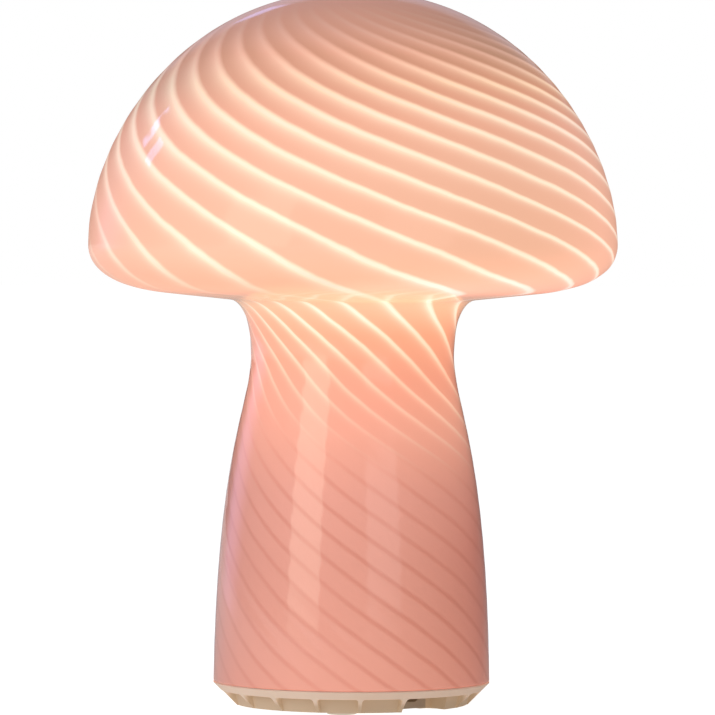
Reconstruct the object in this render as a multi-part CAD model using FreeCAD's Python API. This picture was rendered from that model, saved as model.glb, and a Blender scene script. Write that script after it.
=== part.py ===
import FreeCAD, Part
import math
import os

# Mushroom table lamp: a blown glass shade, cap and stem in one piece, on a low
# moulded base.  A threaded pipe on the base carries the lampholder and its bulb up
# into the neck of the glass.  Millimetres; the ground is z = 0, the lamp's axis is
# the Z axis and the front of the lamp looks along -Y.

# ---------------------------------------------------------------- glass shade
lamp_height = 243.5          # ground to the top of the dome
cap_diameter = 180.0
widest_height = 157.0        # height at which the cap is widest
dome_top_reach = 58.0        # reach of the level stretch at the top of the dome
dome_side_reach = 36.0       # reach of the upright stretch above the widest line
roll_reach = 4.7             # the same below it, where the cap rolls under
underside_reach = 23.5       # reach of the underside out towards that roll
underside_radius = 63.5      # where the underside begins to run straight
underside_height = 140.75
underside_slope = 5.85       # degrees, down towards the neck
neck_top_radius = 41.5       # where the underside meets the neck
neck_corner_reach = 1.2
neck_top_reach = 17.0        # reach of the waist upwards
waist_diameter = 69.2
waist_height = 119.5
waist_reach = 17.0           # reach of the waist downwards
rim_reach = 80.0             # reach of the nearly straight foot of the stem
rim_lean = 0.8               # degrees, how much the stem leans in at the rim
rim_diameter = 94.0
glass_wall = 3.0
rim_seat_gap = 0.25          # the rim stands this far above the flange

# ---------------------------------------------------------------- twist-lock collar
adhesive_thickness = 0.75
adhesive_glass_gap = 0.15
collar_wall = 2.1
collar_height = 8.0
collar_lift = 0.6            # its lower edge above the flange
collar_lug_height = 2.8
lug_count = 3
lug_angle = 30.0             # degrees that each lug spans
lug_reach = 2.2
lug_height = 2.5
lug_play = 0.5               # play between the lugs, up and down
turn_clearance = 0.5         # play round the drum
release_turn = 40.0          # degrees from locked to free
stop_angle = 4.0             # degrees that a stop rib spans
stop_margin = 1.0            # degrees left before a stop

# ---------------------------------------------------------------- base housing
foot_stick_out = 1.2
base_height = 7.5            # skirt and flange together
flange_edge = 2.65           # flange left above the pockets
flange_lip = 0.3             # upright edge of the flange
pocket_depth = 6.0           # flange edge to the pocket's inner wall, at its top
rib_count = 18
rib_thickness = 1.3
rib_start = 4.0              # degrees from the front, towards +X
pocket_corner = 1.0
drum_height = 15.3           # drum above the flange
drum_wall = 2.4
drum_corner = 1.5
deck_thickness = 2.5
cover_ledge = 1.8            # ledge round the bottom cover
cord_direction = 38.8        # degrees from the front, towards +X
notch_width = 18.4
notch_inner_radius = 31.0    # inner wall of the cord recess, its outer face
notch_wall = 2.0
recess_headroom = 7.8        # recess above the bottom of the skirt, inside the drum
cover_screw_boss_radius = 3.5
cover_screw_boss_inset = 1.5 # between a boss and the drum wall
cover_screw_pilot = 1.25
cover_screw_pilot_depth = 13.0

# ---------------------------------------------------------------- gasket and feet
gasket_width = 1.9
gasket_thickness = 0.9
gasket_inset = 0.8           # from the edge of the flange
gasket_play = 0.05           # left between the gasket and the rim
groove_clearance = 0.1
foot_radius = 5.0
foot_recess = 0.8
foot_fit = 0.2
foot_edge_distance = 8.5     # foot centre to the edge of the cover
foot_round = 0.4

# ---------------------------------------------------------------- bottom cover
cover_lift = 0.4             # cover above the bottom of the skirt
cover_thickness = 1.8
cover_fit = 0.3
cover_screw_radius = 1.45
cover_screw_length = 11.0
cover_screw_head_radius = 2.9
cover_screw_head_height = 1.5
screw_hole_clearance = 0.2
drive_slot_width = 0.7
drive_slot_length = 3.5
drive_slot_depth = 0.7

# ---------------------------------------------------------------- cord inlet bush
inlet_height = 5.6           # slot centre above the ground
inlet_slot_width = 5.8       # for a flat two-core cord of 5.4 x 3.2
inlet_slot_height = 3.6
bush_body_width = 9.0
bush_flange = 1.5            # width of the flanges beyond the body
bush_flange_thickness = 1.4
bush_rubber_above = 0.7      # rubber left above the slot
bush_fit = 0.1
bush_corner = 0.8

# ---------------------------------------------------------------- stand pipe
pipe_radius = 5.0
pipe_bore_radius = 3.6
pipe_length = 62.5
pipe_below_deck = 6.0
pipe_fit = 0.1
nut_across_flats = 14.0
nut_thickness = 4.0
nut_chamfer = 0.6
washer_radius = 9.0
washer_thickness = 1.0

# ---------------------------------------------------------------- terminal block
block_distance = 19.0        # block centre from the lamp's axis
block_length = 13.0          # along the wires
block_width = 19.0
block_height = 10.0
block_pedestal = 3.5         # pedestal under the deck that the block hangs from
block_pedestal_length = 6.5
block_pedestal_width = 7.0
block_pole_offset = 5.0
block_bore_radius = 2.25
block_corner = 1.0
barrel_radius = 2.15
barrel_bore_radius = 1.3
barrel_length = 10.0
clamp_screw_radius = 1.25
clamp_screw_offset = 3.0     # from the middle of the barrel
clamp_screw_head = 1.6       # radius of the screw head's well
clamp_screw_depth = 0.6      # head below the face of the block
block_screw_radius = 1.4
block_screw_head_radius = 2.2
block_screw_head_height = 1.5
block_screw_length = 14.0
block_screw_pilot = 1.2

# ---------------------------------------------------------------- internal leads
lead_radius = 1.0
lead_spacing = 1.3           # each lead from the axis, inside the pipe
lead_dip = 5.0               # depth of the bend below the pipe
lead_strip = 1.5             # end of a lead inside its terminal
lead_bend = 2.8

# ---------------------------------------------------------------- lampholder
holder_radius = 13.5
holder_wall = 1.8
holder_floor = 3.0
holder_cap_height = 15.0
holder_boss_radius = 8.0
holder_boss_height = 6.0
pipe_in_holder = 2.0         # pipe above the floor of the holder
holder_joint_fit = 0.2
holder_spigot_height = 5.0
holder_rim_gap = 0.5         # holder's rim below the bulb's collar
holder_rim_round = 1.0
screw_bore_radius = 7.25
insert_radius = 9.6
insert_fit = 0.2
insert_underside = 16.0      # above the underside of the floor
insert_thickness = 6.5
terminal_size = 4.5
terminal_offset = 5.8
terminal_bore_radius = 1.2
strip_thickness = 0.5
strip_width = 4.0
centre_dome_radius = 1.6
centre_dome_height = 0.9
side_strip_rise = 12.0       # side contact above the insert
side_strip_gap = 0.3         # to the crests of the bulb's thread
holder_screw_radius = 1.2
holder_screw_head_radius = 2.0
holder_screw_head_height = 1.2
set_screw_radius = 1.4
set_screw_gap = 0.05

# ---------------------------------------------------------------- bulb
bulb_contact_gap = 0.1       # tip above the centre contact
tip_radius = 2.4
tip_height = 1.4
insulator_height = 3.8
insulator_radius = 5.9
thread_crest_radius = 6.9
thread_root_radius = 6.3
thread_pitch = 2.82
thread_turns = 5
thread_flat = 0.55           # width of a ring's crest
thread_flank = 0.85
shell_wall = 0.35
shell_collar_height = 1.4
bulb_neck_radius = 7.9
bulb_body_height = 23.0
bulb_body_radius = 21.2
bulb_body_wall = 1.5
bulb_spigot_depth = 9.0
bulb_spigot_wall = 0.9
globe_radius = 22.5
globe_wall = 1.4
led_board_thickness = 1.6
led_board_edge = 0.3
led_count = 8
led_ring_radius = 12.0
led_length = 3.5
led_width = 2.8
led_height = 0.8
driver_board_thickness = 1.2
driver_board_fit = 0.25      # between the driver board and the bulb's wall
driver_head_width = 18.0
driver_head_height = 12.0
capacitor_radius = 3.2
capacitor_length = 9.0
coil_radius = 2.8
coil_height = 5.0
chip_size = 5.0
chip_height = 1.6

# ---------------------------------------------------------------- worked out from them
base_bottom = foot_stick_out
flange_top = base_bottom + base_height
pocket_top = flange_top - flange_edge
rim_height = flange_top + rim_seat_gap
rim_radius = rim_diameter / 2
collar_outer_radius = rim_radius - glass_wall - adhesive_thickness
collar_inner_radius = collar_outer_radius - collar_wall
lug_radius = collar_inner_radius - turn_clearance
drum_radius = lug_radius - lug_reach
drum_inner_radius = drum_radius - drum_wall
skirt_bore_radius = drum_inner_radius + cover_ledge
drum_top = flange_top + drum_height
deck_bottom = drum_top - deck_thickness
cover_bottom = base_bottom + cover_lift
cover_top = cover_bottom + cover_thickness
cover_radius = skirt_bore_radius - cover_fit
collar_bottom = flange_top + collar_lift
lug_bottom = collar_bottom + collar_lug_height + lug_play
rib_first_angle = rib_start - 90.0
cord_angle = cord_direction - 90.0
housing_screw_turns = (90.0, 180.0, 270.0)   # from the cord's direction
boss_distance = drum_inner_radius - cover_screw_boss_inset - cover_screw_boss_radius
foot_distance = cover_radius - foot_edge_distance
pipe_bottom = deck_bottom - pipe_below_deck
pipe_top = pipe_bottom + pipe_length
holder_base = pipe_top - pipe_in_holder - holder_floor
insert_bottom = holder_base + insert_underside
insert_top = insert_bottom + insert_thickness
terminal_bottom = insert_bottom - terminal_size
block_top = deck_bottom - block_pedestal
block_bottom = block_top - block_height
block_middle = (block_top + block_bottom) / 2
tip_bottom = insert_top + strip_thickness + centre_dome_height + bulb_contact_gap
shell_bottom = tip_bottom + tip_height + insulator_height
shell_top = shell_bottom + thread_pitch * thread_turns + shell_collar_height
holder_rim = shell_top - holder_rim_gap
globe_seat = shell_top + bulb_body_height
globe_centre = globe_seat + math.sqrt(globe_radius ** 2 - bulb_body_radius ** 2)

Z_AXIS = FreeCAD.Vector(0, 0, 1)
ORIGIN = FreeCAD.Vector(0, 0, 0)


def vector(x, y, z):
    return FreeCAD.Vector(x, y, z)


def cylinder(radius, low, high, x=0.0, y=0.0):
    return Part.makeCylinder(radius, high - low, vector(x, y, low))


def ring(outer, inner, low, high):
    return cylinder(outer, low, high).cut(cylinder(inner, low, high))


def block(x_range, y_range, z_range):
    corner = vector(x_range[0], y_range[0], z_range[0])
    size = [end - start for start, end in (x_range, y_range, z_range)]
    return Part.makeBox(size[0], size[1], size[2], corner)


def turned(points, angle=360.0):
    """Solid turned about the Z axis from a closed outline of (radius, height) points."""
    corners = [vector(radius, 0, height) for radius, height in points]
    face = Part.Face(Part.makePolygon(corners + corners[:1]))
    return face.revolve(ORIGIN, Z_AXIS, angle)


def rotated(shape, angle):
    copy = shape.copy()
    copy.rotate(ORIGIN, Z_AXIS, angle)
    return copy


def moved(shape, x, y, z):
    copy = shape.copy()
    copy.translate(vector(x, y, z))
    return copy


def spread(shape, angles):
    """Copies of a shape round the Z axis, one at each angle."""
    return [rotated(shape, angle) for angle in angles]


def even_angles(count, start=0.0):
    return [start + index * 360.0 / count for index in range(count)]


def level_edges(shape, height):
    """Edges of a shape that lie all at one height."""
    return [edge for edge in shape.Edges
            if abs(edge.BoundBox.ZMin - height) < 1e-4 and abs(edge.BoundBox.ZMax - height) < 1e-4]


def fused(shapes):
    return shapes[0].multiFuse(shapes[1:]).removeSplitter()


def save(name, solids):
    """Write one node; it may hold several separate solids."""
    solids = solids if isinstance(solids, list) else [solids]
    shape = solids[0] if len(solids) == 1 else Part.makeCompound(solids)
    shape.exportStep("parts/" + name + ".step")
    print(name, len(shape.Solids), "solids", round(shape.Volume, 1), "mm3", shape.isValid())


def bezier(points):
    curve = Part.BezierCurve()
    curve.setPoles([vector(radius, 0, height) for radius, height in points])
    return curve.toShape()


# ---------------------------------------------------------------- glass shade
def glass_outline(inset):
    """The curves of the glass from the top of the dome to the rim, set in by a wall."""
    radius = cap_diameter / 2 - inset
    top = lamp_height - inset
    waist = waist_diameter / 2 - inset
    rim = rim_radius - inset
    slope = math.radians(underside_slope)
    shrink = radius / (cap_diameter / 2)
    dome_shrink = (top - widest_height) / (lamp_height - widest_height)
    under = (underside_radius - inset * math.sin(slope), underside_height + inset * math.cos(slope))
    roll_shrink = (widest_height - under[1]) / (widest_height - underside_height)
    neck_run = under[0] - neck_top_radius + inset * math.sin(slope)
    neck = (under[0] - neck_run, under[1] - neck_run * math.tan(slope))
    corner = neck_corner_reach + inset
    lean = math.radians(rim_lean)
    return [
        bezier([(0, top), (dome_top_reach * shrink, top),
                (radius, widest_height + dome_side_reach * dome_shrink), (radius, widest_height)]),
        bezier([(radius, widest_height), (radius, widest_height - roll_reach * roll_shrink),
                (under[0] + underside_reach * roll_shrink * math.cos(slope),
                 under[1] + underside_reach * roll_shrink * math.sin(slope)), under]),
        Part.makeLine(vector(under[0], 0, under[1]), vector(neck[0], 0, neck[1])),
        bezier([neck, (neck[0] - corner * math.cos(slope), neck[1] - corner * math.sin(slope)),
                (waist, waist_height + neck_top_reach), (waist, waist_height)]),
        bezier([(waist, waist_height), (waist, waist_height - waist_reach),
                (rim - rim_reach * math.sin(lean), rim_height + rim_reach * math.cos(lean)),
                (rim, rim_height)]),
    ]


def glass_shade():
    outer = glass_outline(0.0)
    inner = glass_outline(glass_wall)
    rim_line = Part.makeLine(vector(rim_radius, 0, rim_height),
                             vector(rim_radius - glass_wall, 0, rim_height))
    axis_line = Part.makeLine(vector(0, 0, lamp_height - glass_wall), vector(0, 0, lamp_height))
    outline = Part.Wire(Part.__sortEdges__(outer + [rim_line] + inner + [axis_line]))
    return Part.Face(outline).revolve(ORIGIN, Z_AXIS, 360.0)


# ---------------------------------------------------------------- twist-lock collar
def arc_piece(inner, outer, low, high, start, span):
    """Part of a ring, from a start angle over a span of degrees."""
    section = turned([(inner, low), (outer, low), (outer, high), (inner, high)], span)
    return rotated(section, start)


def shade_collar():
    top = collar_bottom + collar_height
    wall = ring(collar_outer_radius, collar_inner_radius, collar_bottom, top)
    lug_inner_radius = drum_radius + turn_clearance
    lug = arc_piece(lug_inner_radius, collar_inner_radius + collar_wall / 2, collar_bottom,
                    collar_bottom + collar_lug_height, -lug_angle / 2, lug_angle)
    return fused([wall] + spread(lug, even_angles(lug_count)))


def collar_adhesive():
    """Sealant between the collar and the glass, which leans in above the rim."""
    outer = rim_radius - glass_wall - adhesive_glass_gap
    top = collar_bottom + collar_height
    lean_in = 2 * (top - rim_height) * math.tan(math.radians(rim_lean))
    return turned([(collar_outer_radius, collar_bottom), (outer, collar_bottom),
                   (outer - lean_in, top), (collar_outer_radius, top)])


# ---------------------------------------------------------------- base housing
def rib_pocket():
    """The space between two neighbouring ribs, under the flange."""
    pitch = 360.0 / rib_count
    wall_top = rim_radius - pocket_depth
    wall_bottom = rim_radius - base_height
    beyond = rim_radius + pocket_depth
    below = base_bottom - base_height
    slant = (wall_top - wall_bottom) / (pocket_top - base_bottom)
    space = turned([(wall_bottom - slant * base_height, below), (beyond, below),
                    (beyond, pocket_top), (wall_top, pocket_top)], pitch)
    half_rib = block((0, beyond + pocket_depth), (-rib_thickness / 2, rib_thickness / 2),
                     (below, pocket_top))
    space = space.cut(half_rib).cut(rotated(half_rib, pitch))
    corners = [edge for edge in level_edges(space, pocket_top) if len(edge.Vertexes) == 2
               and edge.Curve.TypeId == "Part::GeomLine"]
    return space.makeFillet(pocket_corner, corners)


def cord_frame(shape):
    """Turn a shape drawn along +X so that it points the way the cord leaves."""
    return rotated(shape, cord_angle)


def housing_stops():
    """Two ribs on the drum that end the twist of the collar, locked and free."""
    low = flange_top
    inner = drum_radius - drum_wall / 2
    outer = lug_radius
    locked = -lug_angle / 2 - stop_margin - stop_angle
    free = lug_angle / 2 + release_turn + stop_margin
    return [arc_piece(inner, outer, low, lug_bottom + lug_height, locked, stop_angle),
            arc_piece(inner, outer, low, lug_bottom + lug_height, free, stop_angle)]


def base_housing():
    skirt_bottom_radius = rim_radius - base_height + flange_lip
    body = turned([(0, drum_top), (drum_radius, drum_top), (drum_radius, flange_top),
                   (rim_radius, flange_top), (rim_radius, flange_top - flange_lip),
                   (skirt_bottom_radius, base_bottom), (skirt_bore_radius, base_bottom),
                   (skirt_bore_radius, cover_top), (drum_inner_radius, cover_top),
                   (drum_inner_radius, deck_bottom), (0, deck_bottom)])
    drum_edge = [edge for edge in level_edges(body, drum_top)
                 if abs(edge.Curve.Radius - drum_radius) < 1e-6]
    body = body.makeFillet(drum_corner, drum_edge)

    pockets = spread(rib_pocket(), even_angles(rib_count, rib_first_angle))
    body = body.cut(Part.makeCompound(pockets))

    # The walls round the cord recess, and the bosses that hang from the deck.
    recess_top = base_bottom + recess_headroom
    half_recess = notch_width / 2
    recess_block = block((notch_inner_radius - notch_wall, skirt_bore_radius),
                         (-half_recess - notch_wall, half_recess + notch_wall),
                         (base_bottom, recess_top + notch_wall))
    recess_block = recess_block.common(cylinder(skirt_bore_radius, base_bottom, drum_top))
    boss = cylinder(cover_screw_boss_radius, cover_top, drum_top - deck_thickness / 2,
                    boss_distance)
    bosses = spread(boss, housing_screw_turns)
    pedestal = block((-block_distance - block_pedestal_length / 2,
                      -block_distance + block_pedestal_length / 2),
                     (-block_pedestal_width / 2, block_pedestal_width / 2),
                     (block_top, deck_bottom + deck_thickness / 2))
    body = fused([body] + [cord_frame(shape) for shape in [recess_block, pedestal] + bosses])

    # The cord recess: low under the flange, higher inside the drum.
    outer_recess = block((notch_inner_radius, rim_radius + pocket_depth),
                         (-half_recess, half_recess), (0, pocket_top))
    inner_recess = block((notch_inner_radius, drum_inner_radius + notch_wall / 2),
                         (-half_recess, half_recess), (0, recess_top))
    inner_recess = inner_recess.common(cylinder(drum_inner_radius, 0, drum_top))
    bush_slot = block((0, notch_inner_radius + notch_wall),
                      (-bush_body_width / 2 - bush_fit, bush_body_width / 2 + bush_fit),
                      (0, bush_top() + bush_fit))
    bush_slot = bush_slot.common(block((notch_inner_radius - 2 * notch_wall, rim_radius),
                                       (-half_recess, half_recess), (0, recess_top)))
    pilot = cylinder(cover_screw_pilot, cover_top, cover_top + cover_screw_pilot_depth,
                     boss_distance)
    block_pilot = cylinder(block_screw_pilot, block_middle, deck_bottom + deck_thickness / 2,
                           -block_distance)
    cuts = [outer_recess, inner_recess, bush_slot, block_pilot] + spread(pilot, housing_screw_turns)
    body = body.cut(Part.makeCompound([cord_frame(shape) for shape in cuts]))
    body = body.cut(cylinder(pipe_radius + pipe_fit, 0, 2 * drum_top))

    groove = ring(gasket_outer() + groove_clearance, gasket_inner() - groove_clearance,
                  gasket_bottom(), drum_top)
    body = body.cut(groove)

    lug = arc_piece(drum_radius - drum_wall / 2, lug_radius, lug_bottom, lug_bottom + lug_height,
                    -lug_angle / 2, lug_angle)
    body = fused([body] + spread(lug, even_angles(lug_count)) + housing_stops())
    return body


# ---------------------------------------------------------------- gasket and feet
def gasket_outer():
    return rim_radius - gasket_inset


def gasket_inner():
    return gasket_outer() - gasket_width


def gasket_top():
    return rim_height - gasket_play


def gasket_bottom():
    return gasket_top() - gasket_thickness


def rim_gasket():
    return ring(gasket_outer(), gasket_inner(), gasket_bottom(), gasket_top())


def foot_angles():
    return even_angles(4, cord_angle + 45.0)


def rubber_feet():
    top = cover_bottom + foot_recess
    foot = cylinder(foot_radius, 0, top, foot_distance)
    return spread(foot.makeFillet(foot_round, level_edges(foot, 0)), foot_angles())


# ---------------------------------------------------------------- bottom cover and its screws
def screw_angles():
    return [cord_angle + turn for turn in housing_screw_turns]


def bottom_cover():
    plate = cylinder(cover_radius, cover_bottom, cover_top)
    half_width = notch_width / 2 + notch_wall + cover_fit
    cut_out = block((notch_inner_radius - notch_wall - cover_fit, rim_radius),
                    (-half_width, half_width), (0, flange_top))
    recess = cylinder(foot_radius + foot_fit, 0, cover_bottom + foot_recess, foot_distance)
    hole = cylinder(cover_screw_radius + screw_hole_clearance, 0, flange_top, boss_distance)
    sink = Part.makeCone(cover_screw_head_radius + screw_hole_clearance,
                         cover_screw_radius + screw_hole_clearance, cover_screw_head_height,
                         vector(boss_distance, 0, cover_bottom))
    cuts = [cord_frame(cut_out)] + spread(recess, foot_angles())
    cuts += spread(hole, screw_angles()) + spread(sink, screw_angles())
    return plate.cut(Part.makeCompound(cuts))


def cover_screws():
    head = Part.makeCone(cover_screw_head_radius, cover_screw_radius, cover_screw_head_height,
                         vector(boss_distance, 0, cover_bottom))
    shank = cylinder(cover_screw_radius - cover_fit, cover_bottom, cover_bottom + cover_screw_length,
                     boss_distance)
    screw = head.fuse(shank)
    for turn in (0.0, 90.0):
        slot = block((-drive_slot_length / 2, drive_slot_length / 2),
                     (-drive_slot_width / 2, drive_slot_width / 2),
                     (cover_bottom, cover_bottom + drive_slot_depth))
        screw = screw.cut(moved(rotated(slot, turn), boss_distance, 0, 0))
    return spread(screw, screw_angles())


# ---------------------------------------------------------------- cord inlet bush
def bush_top():
    return inlet_height + inlet_slot_height / 2 + bush_rubber_above


def stadium(width, height, low, high):
    """A flat-sided round-ended bar along X, centred on the inlet's height."""
    half = (width - height) / 2
    turn = height / 2
    bar = block((low, high), (-half, half), (inlet_height - turn, inlet_height + turn))
    ends = [Part.makeCylinder(turn, high - low, vector(low, side * half, inlet_height), vector(1, 0, 0))
            for side in (-1, 1)]
    return fused([bar] + ends)


def inlet_bush():
    wall_inside = notch_inner_radius - notch_wall
    wall_outside = notch_inner_radius
    half_body = bush_body_width / 2
    half_flange = half_body + bush_flange
    body = block((wall_inside, wall_outside), (-half_body, half_body), (cover_bottom, bush_top()))
    inner_flange = block((wall_inside - bush_flange_thickness, wall_inside),
                         (-half_flange, half_flange), (cover_top + bush_fit, bush_top()))
    outer_flange = block((wall_outside, wall_outside + bush_flange_thickness),
                         (-half_flange, half_flange), (cover_bottom, bush_top()))
    flanges = []
    for flange in (inner_flange, outer_flange):
        upper = [edge for edge in level_edges(flange, bush_top())
                 if abs(edge.Vertexes[0].Point.x - edge.Vertexes[1].Point.x) > 1e-6]
        flanges.append(flange.makeFillet(bush_corner, upper))
    bush = fused([body] + flanges)
    slot = stadium(inlet_slot_width, inlet_slot_height, 0, rim_radius)
    return cord_frame(bush.cut(slot))


# ---------------------------------------------------------------- stand pipe and what clamps it
def stand_pipe():
    return ring(pipe_radius, pipe_bore_radius, pipe_bottom, pipe_top)


def hex_nut(low):
    corner_radius = nut_across_flats / math.sqrt(3)
    corners = [vector(corner_radius * math.cos(math.radians(60 * i)),
                      corner_radius * math.sin(math.radians(60 * i)), low) for i in range(6)]
    prism = Part.Face(Part.makePolygon(corners + corners[:1])).extrude(vector(0, 0, nut_thickness))
    high = low + nut_thickness
    dome = turned([(0, low), (corner_radius - nut_chamfer, low), (corner_radius, low + nut_chamfer),
                   (corner_radius, high - nut_chamfer), (corner_radius - nut_chamfer, high),
                   (0, high)])
    return prism.common(dome).cut(cylinder(pipe_radius, low, high))


def pipe_nuts():
    return [hex_nut(deck_bottom - washer_thickness - nut_thickness), hex_nut(drum_top + washer_thickness)]


def pipe_washers():
    return [ring(washer_radius, pipe_radius, deck_bottom - washer_thickness, deck_bottom),
            ring(washer_radius, pipe_radius, drum_top, drum_top + washer_thickness)]


# ---------------------------------------------------------------- terminal block
def along_x(radius, low, high, y, z):
    return Part.makeCylinder(radius, high - low, vector(low, y, z), vector(1, 0, 0))


def pole_places():
    return (-block_pole_offset, block_pole_offset)


def clamp_screw_places():
    return [(-block_distance + side * clamp_screw_offset, pole)
            for pole in pole_places() for side in (-1, 1)]


def terminal_block():
    low = -block_distance - block_length / 2
    high = -block_distance + block_length / 2
    body = block((low, high), (-block_width / 2, block_width / 2), (block_bottom, block_top))
    upright = [edge for edge in body.Edges
               if abs(edge.Vertexes[0].Point.z - edge.Vertexes[1].Point.z) > 1e-6]
    body = body.makeFillet(block_corner, upright)
    for pole in pole_places():
        body = body.cut(along_x(block_bore_radius, low, high, pole, block_middle))
    for x, y in clamp_screw_places():
        body = body.cut(cylinder(clamp_screw_head, block_bottom, block_middle, x, y))
    body = body.cut(cylinder(block_screw_radius + screw_hole_clearance, block_bottom, block_top,
                             -block_distance))
    body = body.cut(cylinder(block_screw_head_radius + screw_hole_clearance, block_bottom,
                             block_bottom + block_screw_head_height, -block_distance))
    return cord_frame(body)


def terminal_barrels():
    barrels = []
    for pole in pole_places():
        low = -block_distance - barrel_length / 2
        high = -block_distance + barrel_length / 2
        barrel = along_x(barrel_radius, low, high, pole, block_middle)
        barrel = barrel.cut(along_x(barrel_bore_radius, low, high, pole, block_middle))
        for side in (-1, 1):
            x = -block_distance + side * clamp_screw_offset
            barrel = barrel.cut(cylinder(clamp_screw_radius, block_bottom, block_middle, x, pole))
        barrels.append(cord_frame(barrel))
    return barrels


def clamp_screws():
    screws = []
    low = block_bottom + clamp_screw_depth
    high = block_middle - lead_radius
    for x, y in clamp_screw_places():
        screw = cylinder(clamp_screw_radius, low, high, x, y)
        slot = block((-clamp_screw_radius, clamp_screw_radius),
                     (-drive_slot_width / 2, drive_slot_width / 2), (low, low + drive_slot_depth))
        screws.append(cord_frame(screw.cut(moved(slot, x, y, 0))))
    return screws


def block_screw():
    head = cylinder(block_screw_head_radius, block_bottom, block_bottom + block_screw_head_height,
                    -block_distance)
    shank = cylinder(block_screw_pilot, block_bottom, block_bottom + block_screw_length,
                     -block_distance)
    slot = block((-block_screw_head_radius, block_screw_head_radius),
                 (-drive_slot_width / 2, drive_slot_width / 2),
                 (block_bottom, block_bottom + drive_slot_depth))
    return cord_frame(head.fuse(shank).cut(moved(slot, -block_distance, 0, 0)))


# ---------------------------------------------------------------- internal leads
def round_tube(points, radius, bend):
    """A wire along straight runs whose corners are tangent arcs."""
    edges = []
    start = points[0]
    for corner, after in zip(points[1:-1], points[2:]):
        back = (start - corner).normalize()
        ahead = (after - corner).normalize()
        half_turn = (math.pi - back.getAngle(ahead)) / 2
        reach = bend * math.tan(half_turn)
        entry = corner + back * reach
        leave = corner + ahead * reach
        inward = (back + ahead).normalize()
        middle = corner + inward * (bend / math.cos(half_turn) - bend)
        edges.append(Part.makeLine(start, entry))
        edges.append(Part.Arc(entry, middle, leave).toShape())
        start = leave
    edges.append(Part.makeLine(start, points[-1]))
    path = Part.Wire(edges)
    section = Part.Wire(Part.makeCircle(radius, points[0], points[1] - points[0]))
    return path.makePipeShell([section], True, False)


def lead(side):
    """One insulated lead, from its pole in the block up the pipe to its terminal."""
    pole = side * block_pole_offset
    near = side * lead_spacing
    block_face = -block_distance + block_length / 2
    below = pipe_bottom - lead_dip
    points = [vector(block_face - lead_strip, pole, block_middle),
              vector(block_face + lead_bend, pole, block_middle),
              vector(0, near, below),
              vector(0, near, pipe_top + lead_radius),
              vector(0, side * terminal_offset, terminal_bottom - lead_bend),
              vector(0, side * terminal_offset, terminal_bottom + lead_strip)]
    return cord_frame(round_tube(points, lead_radius, lead_bend))


# ---------------------------------------------------------------- lampholder
def holder_cap():
    inner = holder_radius - holder_wall
    cup = turned([(0, holder_base), (holder_radius, holder_base),
                  (holder_radius, holder_base + holder_cap_height),
                  (inner, holder_base + holder_cap_height),
                  (inner, holder_base + holder_floor), (0, holder_base + holder_floor)])
    boss = cylinder(holder_boss_radius, holder_base - holder_boss_height, holder_base)
    cap = fused([cup, boss])
    cap = cap.cut(cylinder(pipe_radius, holder_base - holder_boss_height, holder_base + holder_floor))
    screw_hole = Part.makeCylinder(set_screw_radius, holder_boss_radius,
                                   vector(0, 0, set_screw_height()), vector(1, 0, 0))
    return cord_frame(cap.cut(screw_hole))


def set_screw_height():
    return holder_base - holder_boss_height / 2


def holder_set_screw():
    start = pipe_radius + set_screw_gap
    screw = Part.makeCylinder(set_screw_radius, holder_boss_radius - start,
                              vector(start, 0, set_screw_height()), vector(1, 0, 0))
    slot = block((holder_boss_radius - drive_slot_depth, holder_boss_radius),
                 (-drive_slot_width / 2, drive_slot_width / 2),
                 (set_screw_height() - set_screw_radius, set_screw_height() + set_screw_radius))
    return cord_frame(screw.cut(slot))


def holder_shell():
    cap_top = holder_base + holder_cap_height
    spigot = holder_radius - holder_wall - holder_joint_fit
    cavity = insert_radius + insert_fit
    body = turned([(cavity, cap_top - holder_spigot_height), (spigot, cap_top - holder_spigot_height),
                   (spigot, cap_top), (holder_radius, cap_top), (holder_radius, holder_rim),
                   (screw_bore_radius, holder_rim), (screw_bore_radius, insert_top),
                   (cavity, insert_top)])
    rim = [edge for edge in level_edges(body, holder_rim)
           if abs(edge.Curve.Radius - holder_radius) < 1e-6]
    body = body.makeFillet(holder_rim_round, rim)
    channel = block((-side_strip_outer() - insert_fit, 0),
                    (-strip_width / 2 - insert_fit, strip_width / 2 + insert_fit),
                    (insert_top, insert_top + side_strip_rise + insert_fit))
    return cord_frame(body.cut(rotated(channel, -90.0)))


def side_strip_outer():
    return thread_crest_radius + side_strip_gap + strip_thickness


def holder_insert():
    puck = cylinder(insert_radius, insert_bottom, insert_top)
    centre_hole = cylinder(terminal_bore_radius, insert_bottom, insert_top, 0, -terminal_offset)
    side_low = side_strip_outer() - strip_thickness - insert_fit
    side_slot = block((-strip_width / 2 - insert_fit, strip_width / 2 + insert_fit),
                      (side_low, side_low + strip_thickness + 2 * insert_fit),
                      (insert_bottom, insert_top))
    return cord_frame(puck.cut(centre_hole).cut(side_slot))


def terminal_cube(side):
    """Brass terminal under the insert, bored for its lead and tapped from the side."""
    half = terminal_size / 2
    middle = side * terminal_offset
    cube = block((-half, half), (middle - half, middle + half), (terminal_bottom, insert_bottom))
    cube = cube.cut(cylinder(terminal_bore_radius, terminal_bottom, terminal_bottom + 2 * lead_strip,
                             0, middle))
    screw_hole = along_x(holder_screw_radius, 0, half, middle, terminal_screw_height())
    return cube.cut(screw_hole)


def terminal_screw_height():
    return terminal_bottom + lead_strip


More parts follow.
